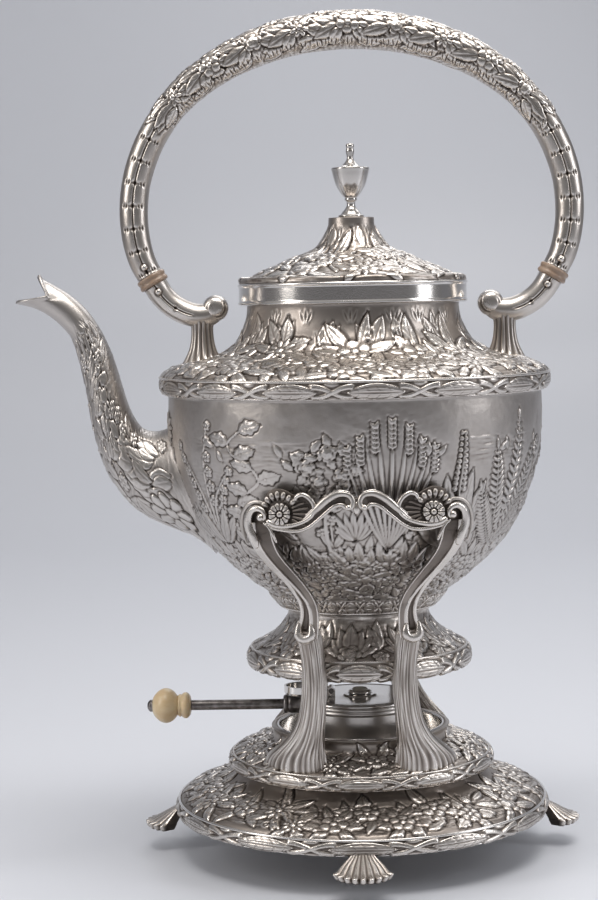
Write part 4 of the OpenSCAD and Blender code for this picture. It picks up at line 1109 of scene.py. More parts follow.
turned_x("handle_socket", [(-36.2, 2.45), (-36.2, 2.45), (-36.2, 3.6), (-35.6, 4.3), (-34.6, 4.4), (-33.8, 3.8), (-33.2, 4.2), (-31.5, 4.4), (-29, 4.5), (-27.6, 4.9), (-26.6, 5.4), (-25.9, 5.4), (-25.9, 5.4), (-25.9, 2.45)], 64, "lamp", ["lamp_handle_socket"], STEEL, "steel")
turned_x("handle_rod", [(-80, 0), (-80, 2.4), (-80, 2.4), (-36, 2.4), (-28, 2.4), (-28, 0)], 48, "lamp", ["lamp_handle_rod"], STEEL, "steel")
turned_x("handle_collar", [(-86.4, 0), (-86.4, 4.4), (-86.0, 5.0), (-85.2, 5.4), (-84.6, 5.1), (-84.2, 5.5), (-83.2, 6.1), (-82.0, 6.1), (-80.9, 5.2), (-80.2, 4.0), (-80, 3.0), (-80, 3.0), (-80, 0)], 96, "lamp", ["lamp_handle_collar"], IVORY, "ivory")
turned_x("handle_knob", [(-98.2, 0), (-98.2, 3.3), (-98.2, 3.3), (-97.6, 4.6), (-96.2, 6.3), (-94.4, 7.6), (-92.3, 8.25), (-90.2, 7.9), (-88.3, 6.8), (-87.0, 5.3), (-86.4, 4.4), (-86.4, 4.4), (-86.4, 0)], 120, "lamp", ["lamp_knob"], IVORY, "ivory")
turned_x("handle_button", [(-100.9, 0), (-100.7, 1.3), (-100.0, 2.4), (-99.2, 2.9), (-98.6, 2.7), (-98.2, 3.1), (-98.2, 3.1), (-98.2, 0)], 64, "lamp", ["lamp_knob_button"], STEEL, "steel")


# ----------------------------------------------------------- stand's cast work
def on(x, z, rho):
    """The point in front at x, z on the surface of radius rho."""
    x, z, rho = np.broadcast_arrays(np.asarray(x, float), np.asarray(z, float), np.asarray(rho, float))
    return np.stack([x, -np.sqrt(np.maximum(rho**2 - x**2, 1.0)), z], -1)


def loft(shape, rings, cav=None, mat=0):
    """A closed skin over rings of points, with a fan on each end."""
    m, k = rings.shape[:2]
    ends = np.stack([rings[0].mean(0), rings[-1].mean(0)])
    j = np.arange(k)
    first = np.stack([(j + 1) % k, j, np.full(k, m * k)], 1)
    last = np.stack([(m - 1) * k + j, (m - 1) * k + (j + 1) % k, np.full(k, m * k + 1)], 1)
    if cav is not None:
        cav = np.broadcast_to(cav, (m, k))
        cav = np.concatenate([cav.ravel(), [cav[0].mean(), cav[-1].mean()]])
    shape.add(np.concatenate([rings.reshape(-1, 3), ends]), grid(m, k, False, True), np.concatenate([first, last]), cav, mat)
    return shape


def front_tube(shape, pts, rho, r0, r1=None, k=14, step=0.35, flat=1.0, cav=0.72):
    """A round bar laid on the front surface of radius rho along x, z points."""
    pts = np.asarray(pts, float)
    rho = np.broadcast_to(np.asarray(rho, float), (len(pts),))
    path = smooth_line(np.concatenate([pts, rho[:, None]], 1), step)
    p = on(path[:, 0], path[:, 1], path[:, 2])
    t = np.gradient(p, axis=0)
    t /= np.linalg.norm(t, axis=1, keepdims=True)
    n = np.stack([p[:, 0], p[:, 1], 0 * p[:, 0]], 1)
    n -= t * (n * t).sum(1, keepdims=True)
    n /= np.linalg.norm(n, axis=1, keepdims=True)
    b = np.cross(t, n)
    r = np.interp(np.linspace(0, 1, len(p)), np.linspace(0, 1, np.size(r0)), np.atleast_1d(r0)) if r1 is None else np.linspace(r0, r1, len(p))
    r = round_tip(r, p)
    a = np.arange(k) * TAU / k
    sec = np.stack([r[:, None] * np.cos(a) * flat, r[:, None] * np.sin(a)], 2)
    co = p[:, None] + sec[:, :, 0:1] * n[:, None] + sec[:, :, 1:2] * b[:, None]
    return loft(shape, co, cav)


def front_plate(shape, outline, rho_f, rho_b, edge=0.5, cav=0.45, step=0.5):
    """A thin bowed plate with the outline x, z between two radii."""
    o = smooth_line(list(outline) + [outline[0]], step)[:-1]
    x, z = o[:, 0], o[:, 1]
    if (x * np.roll(z, -1) - np.roll(x, -1) * z).sum() < 0:
        o = o[::-1]
    d = np.roll(o, -1, 0) - np.roll(o, 1, 0)
    nrm = np.stack([d[:, 1], -d[:, 0]], 1)
    nrm /= np.maximum(np.linalg.norm(nrm, axis=1, keepdims=True), 1e-9)
    rings = [on(*(o - nrm * edge).T, rho_f), on(*(o - nrm * edge * 0.3).T, rho_f - edge * 0.3), on(*o.T, rho_f - edge), on(*o.T, rho_b)]
    k = len(o)
    co = np.concatenate(rings)
    q = grid(4, k, False, True)
    tri = np.array(tessellate_polygon([[Vector((a, b, 0)) for a, b in o]]), np.int64)
    a = o[tri]
    area2 = (a[:, 1, 0] - a[:, 0, 0]) * (a[:, 2, 1] - a[:, 0, 1]) - (a[:, 2, 0] - a[:, 0, 0]) * (a[:, 1, 1] - a[:, 0, 1])
    tri[area2 < 0] = tri[area2 < 0][:, ::-1]
    # ring 0 in front runs counterclockwise seen from the front (-Y), so the quads go outwards
    shape.add(co, q[:, ::-1], np.concatenate([tri, (tri + 3 * k)[:, ::-1]]), cav)
    return shape


ARM = np.array([
    (-27.0, 99.3, -18.0, 99.3), (-27.3, 101.5, -17.8, 101.5), (-27.0, 104.5, -17.5, 104.5), (-25.9, 108, -17.4, 108.4), (-25.6, 112, -17.7, 112.3),
    (-26.4, 115.6, -18.6, 115.5), (-28.2, 118.9, -20.1, 118.8), (-31.6, 123.8, -23.1, 123.6), (-36.2, 129.0, -27.4, 129.4), (-40.4, 134.0, -31.3, 134.6),
    (-44.0, 139.2, -34.0, 139.0), (-46.6, 144.4, -35.6, 143.4), (-47.9, 149.2, -36.6, 147.8), (-47.9, 153.0, -37.4, 152.0),
])
RHO = ([98, 103, 110, 115, 120, 125, 130, 135, 140, 145, 150, 158], [66.0, 66.4, 67.2, 67.8, 69.6, 72.4, 75.8, 80, 84, 87.2, 88.6, 89])
THICK = ([98, 130, 140, 146, 151, 158], [7.2, 7.0, 6.4, 5.0, 3.4, 2.4])


def leg_shape():
    sh = Shape()
    # the arm: two edges, and a hollow face between them
    E = smooth_line(ARM, 0.42)
    m, k = len(E), 60
    t = np.linspace(0, 1, m)[:, None]
    u = np.linspace(0, 1, k)[None, :]
    x = E[:, 0:1] * (1 - u) + E[:, 2:3] * u
    z = E[:, 1:2] * (1 - u) + E[:, 3:4] * u
    rf = np.interp(z, *RHO)
    u1, u2 = 0.11 + 0 * t, 0.62 - 0.34 * smoothstep(0.0, 0.6, t)
    w1, w2 = 0.13 + 0 * t, 0.13 + 0 * t
    dome = lambda c, w: np.sqrt(np.clip(1 - ((u - c) / w) ** 2, 0, 1))
    ridge = np.maximum(dome(u1, w1), dome(u2, w2))
    ridge = np.maximum(ridge, 0.9 * dome(0.955, 0.045))
    between = (u > u1) & (u < u2)
    lip = smoothstep(101.2, 103.4, z)
    groove = (0.3 + 1.5 * (1 - smoothstep(0.05, 0.6, t))) * lip
    across = np.sin(math.pi * np.clip((u - u2) / (0.95 - u2), 0, 1))
    floor = -(0.9 * smoothstep(0.15, 0.6, t) - 0.3 * smoothstep(0.8, 1.0, t)) * (0.7 + 0.3 * across) - 0.35 + 0.55 * (1 - smoothstep(0.1, 0.5, t)) * across
    base = np.where(between, -groove, np.where(u > u2, floor, -0.5))
    H = base * (1 - ridge) + 0.15 * ridge
    # the two edges close round the groove's lower end
    closing = (1 - smoothstep(101.6, 103.4, z)) * (u < 0.74)
    H = H * (1 - closing) + 0.25 * closing
    front = on(x, z, rf + H)
    th = np.interp(z, *THICK)
    # the flanks and the back
    fl = [0.25, 0.55, 0.85]
    R = [on(x[:, -1], z[:, -1], rf[:, -1] - 0.4 - f * th[:, -1]) for f in fl]
    ub = np.linspace(0.98, 0.02, 8)
    B = [on(E[:, 0] * (1 - q) + E[:, 2] * q, E[:, 1] * (1 - q) + E[:, 3] * q, np.interp(E[:, 1] * (1 - q) + E[:, 3] * q, *RHO) - np.interp(E[:, 1] * (1 - q) + E[:, 3] * q, *THICK) - 0.5) for q in ub]
    L = [on(x[:, 0], z[:, 0], rf[:, 0] - 0.4 - f * th[:, 0]) for f in fl[::-1]]
    rings = np.concatenate([front] + [a[:, None] for a in R + B + L], 1)
    # ridges are lighter and deep parts darker, as polish and tarnish; the strip beside the inner ridge is painted
    # darker towards the head, a painted shadow
    cv = 0.50 + 0.34 * ridge + 0.10 * np.clip(H + 0.6, -2.4, 0.4) - 0.04 * (u > u2 + 0.12) * (u < 0.92) - 0.2 * smoothstep(0.78, 1.0, t) * (u > u2 + 0.1) * (u < 0.92)
    cv = np.concatenate([cv, np.full((m, 3), 0.5), np.full((m, 8), 0.5), np.full((m, 3), 0.6)], 1)
    # stretch the ends shut with a rounded lip
    loft(sh, rings, cv)
    # lip of the groove
    front_tube(sh, [(-26.3, 106.5), (-26.6, 103.6), (-26.6, 101.4), (-25.3, 99.6), (-23.2, 99.2), (-21.3, 100.2), (-20.7, 102.4), (-21.2, 106.0)], 66.7, [0.7, 1.5, 2.1, 2.35, 2.35, 2.1, 1.6, 0.8], cav=0.76)
    # the volute at the head, its ball, and the scroll behind it
    front_tube(sh, [(-43.2, 141.4), (-45.0, 146.6), (-46.6, 150.8), (-47.0, 154.0), (-46.0, 157.2), (-43.8, 159.0), (-41.2, 158.7), (-39.7, 156.9), (-40.0, 155.0), (-41.2, 154.5)], [87.0, 88.0, 88.5, 88.9, 89.2, 89.4, 89.4, 89.3, 89.2, 89.1], [0.9, 1.9, 2.15, 2.15, 2.05, 1.85, 1.55, 1.3, 1.1, 1.0], flat=0.8, cav=0.8)
    ball(sh, on(-41.3, 155.3, 89.5), 1.7, cav=0.85)
    front_tube(sh, [(-34.6, 144.2), (-36.4, 148.4), (-38.4, 151.6), (-40.4, 153.2)], [87.4, 88.2, 88.5, 88.4], [0.4, 0.7, 0.7, 0.5], cav=0.82)
    front_tube(sh, [(-47.6, 143), (-49.4, 148.5), (-50.0, 153), (-48.9, 157.6), (-45.9, 161.0), (-41.8, 161.6), (-38.9, 160.0)], [86.8, 87.0, 87.4, 87.7, 87.7, 87.6, 87.4], [0.5, 0.9, 1.0, 1.0, 1.0, 0.9, 0.7], flat=0.6, cav=0.66)
    # the plate behind the volute is real, and its dark tone is painted shade behind the scroll
    front_plate(sh, [(-47.4, 148), (-48.6, 153), (-47.6, 157.4), (-44.8, 160.4), (-41, 160.8), (-38.2, 158.6), (-36.8, 152.6), (-37.0, 149.6), (-42, 147.4)], 87.3, 86.8, edge=0.2, cav=0.22)
    # the sheaf of reeds, which spreads on the disc
    S = smooth_line(np.array([
        # z, left, right, middle of the depth, half depth
        (36.2, -43.6, -15.8, 52.6, 6.2), (39.4, -43.0, -16.2, 53.0, 6.2), (42.5, -41.4, -16.5, 53.3, 6.0), (46, -38.2, -16.7, 53.9, 5.8), (50, -34.4, -16.6, 54.8, 5.3),
        (54, -31.2, -16.4, 55.7, 4.9), (60, -28.2, -16.0, 57.0, 4.4), (68, -26.3, -15.4, 58.3, 4.2), (78, -25.3, -15.0, 59.0, 4.2), (88, -25.4, -15.6, 59.4, 4.3),
        (96, -26.4, -16.3, 60.0, 4.6), (100.5, -26.9, -17.1, 60.4, 4.9), (102.2, -26.0, -18.0, 60.4, 4.0),
    ]), 0.5)
    k = 264
    a = np.arange(k) * TAU / k
    g = np.random.default_rng(97)
    zc, xl, xr, mid, dep = S.T
    half, cx = (xr - xl)[:, None] / 2, (xr + xl)[:, None] / 2
    bent = 0.10 * np.sin(zc / 9.0)[:, None] + 0.05 * np.sin(zc / 3.7 + 1)[:, None]
    wander = blurred(g.standard_normal((len(S), k)), 20, 6)
    reed = np.abs(np.cos(15 * a + bent + 0.5 * np.sin(3 * a) + 0.55 * wander / wander.std())) ** 0.8
    streak = blurred(g.standard_normal((len(S), k)), 9, 0.8)
    streak = streak / streak.std()
    patch = blurred(g.standard_normal((len(S), k)), 8, 5)
    amp = 0.03 + 0.04 * (1 - smoothstep(40, 60, zc))[:, None]
    rough = amp * (reed - 0.7) * np.clip(0.8 + 0.4 * patch / patch.std(), 0.15, 1.6) + 0.014 * streak
    f = 1 + rough
    X = cx + half * np.sign(np.cos(a)) * np.abs(np.cos(a)) ** 0.8 * f
    Dp = dep[:, None] * np.sign(np.sin(a)) * np.abs(np.sin(a)) ** 0.9 * f
    P = np.stack([X - 0.33 * Dp, -np.sqrt(np.maximum(mid[:, None] ** 2 - X**2 * 0.92, 1)) - 0.944 * Dp, zc[:, None] + 0 * X], 2)
    cv = np.clip(0.40 + 0.26 * reed + 0.09 * streak + 0.04 * patch / patch.std(), 0, 1)
    loft(sh, P, cv)
    return sh


LEG = leg_shape()


def mirrored(sh, mx=1, my=1):
    out = Shape()
    n = 0
    for co, q, t, c, (nq, nt, m) in zip(sh.co, sh.quads, sh.tris, sh.cav, sh.mat):
        out.add(co * [mx, my, 1], q - n, t - n, c, m)
        n += len(co)
    return out


for name, mx, my in (("front_left_leg", 1, 1), ("front_right_leg", -1, 1), ("back_left_leg", 1, -1), ("back_right_leg", -1, -1)):
    mirrored(LEG, mx, my).object(name + "_cast", CAST, "stand", [name], "silver")


def head_shape():
    """The scrolled rail between two legs' heads, with a shell and a leaf crest at each eye: its left half."""
    sh = Shape()
    # web behind the scrolls
    front_plate(sh, [(-39.4, 152.4), (-34.5, 150.4), (-25.0, 149.9), (-20.6, 151.6), (-15.0, 156.0), (-9.4, 160.4), (-5.6, 160.8), (-3.6, 158.6), (-0.8, 160.4), (-0.8, 164.2), (-3.6, 166.2), (-7.4, 166.9), (-12.0, 164.9), (-16.4, 161.6), (-18.6, 164.0), (-22.6, 166.3), (-26.6, 165.2), (-29.2, 166.6), (-33.2, 167.8), (-37.4, 166.6), (-40.0, 162.6), (-40.4, 157.0)], 87.4, 86.5, edge=0.4, cav=0.3)
    # the shell's rim, a C that turns back under the eye
    front_tube(sh, [(-26.4, 162.6), (-25.4, 164.6), (-22.9, 165.4), (-20.1, 163.9), (-18.2, 160.9), (-18.4, 157.4), (-21.2, 154.6), (-25.6, 152.7), (-30.4, 151.8), (-35.2, 152.2), (-39.0, 153.9)], 88.3, [0.8, 1.05, 1.05, 1.0, 0.9, 0.9, 0.95, 1.1, 1.3, 1.35, 1.2], cav=0.86)
    # flutes of the shell, between the eye and the rim
    for q in np.linspace(-0.5, 1.25, 8):
        c, s_ = math.cos(q), math.sin(q)
        R = float(np.interp(q, [-0.6, 0.0, 0.5, 0.9, 1.3], [13.2, 13.6, 12.6, 10.8, 9.8]))
        front_tube(sh, [(-32.4 + 5.0 * c, 157 + 4.8 * s_), (-32.4 + R * 0.7 * c, 157 + R * 0.66 * s_), (-32.4 + (R - 0.8) * c, 157 + (R - 1.2) * 0.86 * s_)], [87.5, 87.3, 87.7], [0.5, 0.62, 0.5], cav=0.4)
    # leaf crest above the eye
    for i, q in enumerate(np.radians([42, 60, 78, 96, 114, 132, 150])):
        c, s_ = math.cos(q), math.sin(q)
        R = 9.9 - 0.5 * abs(i - 3) ** 1.2 * 0.4
        front_tube(sh, [(-33 + 5.6 * c, 157 + 5.6 * s_), (-33 + 7.8 * c, 157 + 7.8 * s_), (-33 + R * c, 157 + R * s_)], [87.6, 88.3, 88.2], [0.45, 1.15, 0.9], flat=0.8, cav=0.66)
    # two rails
    front_tube(sh, [(-40.4, 153.0), (-38.4, 151.6), (-34.0, 150.3), (-25.0, 149.8), (-20.4, 151.6), (-14.8, 156.1), (-9.2, 160.5), (-5.9, 160.9), (-4.2, 159.2)], 88.2, [0.6, 0.75, 0.85, 0.85, 0.8, 0.85, 0.95, 1.0], cav=0.84)
    front_tube(sh, [(-24.4, 152.9), (-21.6, 155.2), (-17.4, 158.9), (-12.0, 163.6), (-7.0, 165.8), (-2.9, 164.9), (-1.5, 162.2), (-2.3, 160.0), (-3.8, 159.7)], [87.9, 88, 88.2, 88.4, 88.6, 88.7, 88.8, 88.8, 88.8], [0.5, 1.0, 1.45, 1.75, 1.7, 1.5, 1.25, 1.1, 1.0], flat=0.8, cav=0.7)
    front_tube(sh, [(-22.0, 156.3), (-17.8, 160.0), (-12.4, 164.6), (-7.2, 167.0), (-2.6, 166.2)], [88.1, 88.3, 88.5, 88.8, 88.9], [0.3, 0.5, 0.6, 0.6, 0.5], cav=0.86)
    ball(sh, on(-3.4, 159.9, 88.9), 1.35, cav=0.85)
    return sh


HEAD = head_shape()


def arch_piece(name, my):
    sh = mirrored(HEAD, 1, my)
    sh.merge_all(mirrored(HEAD, -1, my))
    # drop between the curls
    d = Shape()
    co = []
    for z, w, h in ((156.6, 0.05, 0.05), (157.6, 0.9, 0.5), (159.0, 1.5, 0.9), (160.4, 1.1, 0.8), (161.6, 0.5, 0.4), (162.2, 0.05, 0.05)):
        a = np.arange(16) * TAU / 16
        co.append(np.stack([w * np.cos(a), -88.0 - h * np.sin(a), z + 0 * a], 1))
    loft(d, np.array(co), 0.75)
    front_plate(d, [(-4.4, 158.6), (-2.2, 159.6), (0, 156.4), (2.2, 159.6), (4.4, 158.6), (4.6, 163.6), (2.2, 165.2), (0, 163.8), (-2.2, 165.2), (-4.6, 163.6)], 87.5, 86.0, edge=0.4, cav=0.45)
    sh.merge_all(mirrored(d, 1, my))
    return sh.object(name, CAST, "stand", [name.replace("_cast", "")], "silver")


arch_piece("front_arch_cast", 1)
arch_piece("back_arch_cast", -1)


def rosette_shape(x, y0):
    """A flower of twelve petals that faces -Y, with its back at y0."""
    nr, nt = 16, 192
    rr = np.linspace(0, 1, nr + 1)[1:]
    a = np.arange(nt) * TAU / nt
    psi = (a * 12 / TAU) % 1 - 0.5
    edge = 4.75 * (0.9 + 0.1 * np.cos(math.pi * psi) ** 0.7)
    R = rr[:, None] * edge[None, :]
    gap = np.exp(-(((0.5 - np.abs(psi))[None, :] * np.maximum(R, 0.4) * TAU / 12 / 0.17) ** 2))
    h = 1.15 + 0.85 * np.sin(math.pi * np.clip(rr * 0.95, 0, 1)) ** 0.8
    H = h[:, None] * (1 - 0.42 * gap) - 0.25 * np.exp(-((psi[None, :] * R * TAU / 12 / 0.22) ** 2)) * (rr[:, None] < 0.8)
    c = 1.35
    H = np.where(R < c, 1.7 + 0.8 * np.sqrt(np.clip(1 - (R / c) ** 2, 0, 1)), H)
    H = H - 0.7 * np.exp(-(((R - c * 1.12) / 0.25) ** 2))
    cv = 0.72 - 0.5 * gap * (R > c) - 0.35 * np.exp(-(((R - c * 1.12) / 0.3) ** 2))
    rows = [np.stack([R[i] * np.cos(a), -H[i], R[i] * np.sin(a)], 1) for i in range(nr)]
    rows.append(np.stack([edge * np.cos(a) * 1.0, -0.3 + 0 * a, edge * np.sin(a)], 1))
    rows.append(np.stack([edge * np.cos(a) * 0.9, 0 * a, edge * np.sin(a) * 0.9], 1))
    co = np.array(rows)
    cvs = np.concatenate([cv, np.full((2, nt), 0.4)])
    sh = Shape()
    m = len(co)
    pts = np.concatenate([co.reshape(-1, 3), [[0, -2.5, 0], [0, 0, 0]]]) + [x, y0, 157]
    j = np.arange(nt)
    t0 = np.stack([j, (j + 1) % nt, np.full(nt, m * nt)], 1)
    t1 = np.stack([(m - 1) * nt + (j + 1) % nt, (m - 1) * nt + j, np.full(nt, m * nt + 1)], 1)
    sh.add(pts, grid(m, nt, False, True)[:, ::-1], np.concatenate([t0, t1]), np.concatenate([cvs.ravel(), [0.9, 0.4]]))
    return sh


def pin_piece(name, x, y0, length, body, node_name, my):
    sh = rosette_shape(x, y0)
    a = np.arange(32) * TAU / 32
    ys = [y0 - 0.1, y0 + 0.2, y0 + length - 0.5, y0 + length]
    rs = [1.5, 1.5, 1.5, 1.1]
    ring = np.array([np.stack([x + r * np.cos(a), y + 0 * a, 157 + r * np.sin(a)], 1) for y, r in zip(ys, rs)])
    loft(sh, ring, 0.7)
    sh = mirrored(sh, 1, my)
    return sh.object(name, CAST, body, [node_name], "silver")


pin_piece("front_pin_head", -33, -82.8, 8.6, "front_pin", "front_hinge_pin", 1)
pin_piece("back_pin_head", -33, -82.8, 8.6, "back_pin", "back_hinge_pin", -1)
pin_piece("front_stud_head", 33, -82.5, 8.3, "stand", "front_rest_stud", 1)
pin_piece("back_stud_head", 33, -82.5, 8.3, "stand", "back_rest_stud", -1)


def foot_shape():
    """A shell of nine flutes, from the narrow neck under the rim down to its scalloped toe, towards -Y."""
    nu, nv = 109, 46
    u = np.linspace(-1, 1, nu)[None, :]
    v = np.linspace(0, 1, nv)[:, None]
    lobes = 9
    lobe = np.abs(np.cos(math.pi * lobes * (u + 1) / 2 + math.pi / 2)) ** 0.7
    # half width, reach and height of the fan from its neck to the toe
    wide = np.interp(v, [0, 0.12, 0.3, 0.55, 0.82, 1], [4.6, 4.8, 6.0, 8.9, 11.7, 11.9])
    out = np.interp(v, [0, 0.12, 0.3, 0.55, 0.82, 1], [86.6, 88.4, 90.6, 95.0, 100.4, 101.4])
    z = np.interp(v, [0, 0.12, 0.3, 0.55, 0.82, 1], [9.6, 9.3, 8.2, 5.8, 2.9, 0.9])
    toe = smoothstep(0.74, 0.92, v)
    amp = 0.35 + 0.95 * v
    a = u * 1.25
    reach = out - 86.0
    push = amp * (lobe - 0.5) * (0.55 + 0.75 * toe)
    bulge = 1.3 * np.exp(-(((v - 0.9) / 0.075) ** 2)) * lobe
    X = wide * np.sin(a) / math.sin(1.25) + (push + bulge) * np.sin(a)
    Y = -(86.0 + reach * np.cos(a * 0.92) + (push + bulge) * np.cos(a))
    Z = z + 0.5 * push * (1 - toe) + 0.5 * bulge
    top = np.stack([X, Y, Z + 0 * X], 2)
    # underneath: the same edge drawn in on the floor
    low = np.stack([X[-1] * 0.93, 86.0 * -1 + (Y[-1] + 86.0) * 0.93, 0 * X[-1]], 1)
    rings = [top[i] for i in range(nv)] + [low]
    # close each row behind with three points, so that rows are rings
    full = []
    for i, row in enumerate(rings):
        zc = row[:, 2].mean()
        x0, x1 = row[0], row[-1]
        k_ = i / (len(rings) - 1)
        yb = -84.6 - 4.2 * k_**1.5
        b = np.array([[x1[0] * 0.8, yb, x1[2]], [0, yb + 0.4, x1[2]], [x0[0] * 0.8, yb, x0[2]]])
        full.append(np.concatenate([row, b]))
    full = np.array(full)
    cvt = 0.24 + 0.54 * lobe + 0 * v
    cv = np.concatenate([cvt, cvt[-1:] * 0.6], 0)
    cv = np.concatenate([cv, np.full((len(cv), 3), 0.4)], 1)
    sh = Shape()
    loft(sh, full, cv)
    # collar under the rim
    a = np.linspace(0, TAU, 41)[:-1]
    rows = []
    for z_, w, d, y in ((5.4, 3.0, 1.8, -85.6), (6.4, 4.6, 2.6, -86.0), (7.4, 5.4, 3.1, -86.2), (8.4, 5.4, 3.0, -86.2), (9.6, 4.6, 2.2, -85.8)):
        rows.append(np.stack([w * np.cos(a), y + d * np.sin(a), z_ + 0 * a], 1))
    loft(sh, np.array(rows), 0.6)
    return sh


FOOT = foot_shape()


def spun(sh, deg):
    c, s_ = math.cos(math.radians(deg)), math.sin(math.radians(deg))
    out = Shape()
    n = 0
    for co, q, t, cv, (nq, nt, m) in zip(sh.co, sh.quads, sh.tris, sh.cav, sh.mat):
        out.add(np.stack([co[:, 0] * c - co[:, 1] * s_, co[:, 0] * s_ + co[:, 1] * c, co[:, 2]], 1), q - n, t - n, cv, m)
        n += len(co)
    return out


feet = Shape()
for deg in (0, 90, 180, 270):
    feet.merge_all(spun(FOOT, deg))
feet.object("shell_feet_cast", CAST, "stand", ["shell_feet"], "silver")


# -------------------------------------------------------- handle and spout
HALF = [(0, 372, 9, 9), (12, 371.4, 9, 9), (24, 369.8, 8.9, 8.8), (36, 366.8, 8.8, 8.6), (48, 362.4, 8.5, 8.3), (58, 357.6, 8.2, 8), (67, 352, 7.9, 7.6), (75, 345.8, 7.6, 7.2), (82.5, 338.2, 7.2, 6.9), (88.5, 330.2, 7.1, 6.8), (93.4, 321.6, 7.0, 6.7), (97.2, 312.4, 7.0, 6.6), (99.8, 303, 6.9, 6.6), (101, 293.6, 6.9, 6.5), (101, 284.4, 6.8, 6.5), (99.8, 275.2, 6.7, 6.4), (97.6, 267.4, 6.5, 6.3), (94.4, 260.9, 6.3, 6.2)]


def skin_normals(P):
    """Outward normals of a grid of rings."""
    du = np.gradient(P, axis=0)
    dv = (np.roll(P, -1, 1) - np.roll(P, 1, 1)) / 2
    n = np.cross(dv, du)
    n /= np.maximum(np.linalg.norm(n, axis=2, keepdims=True), 1e-9)
    c = P.mean(1, keepdims=True)
    if ((P - c) * n).sum() < 0:
        n = -n
    return n


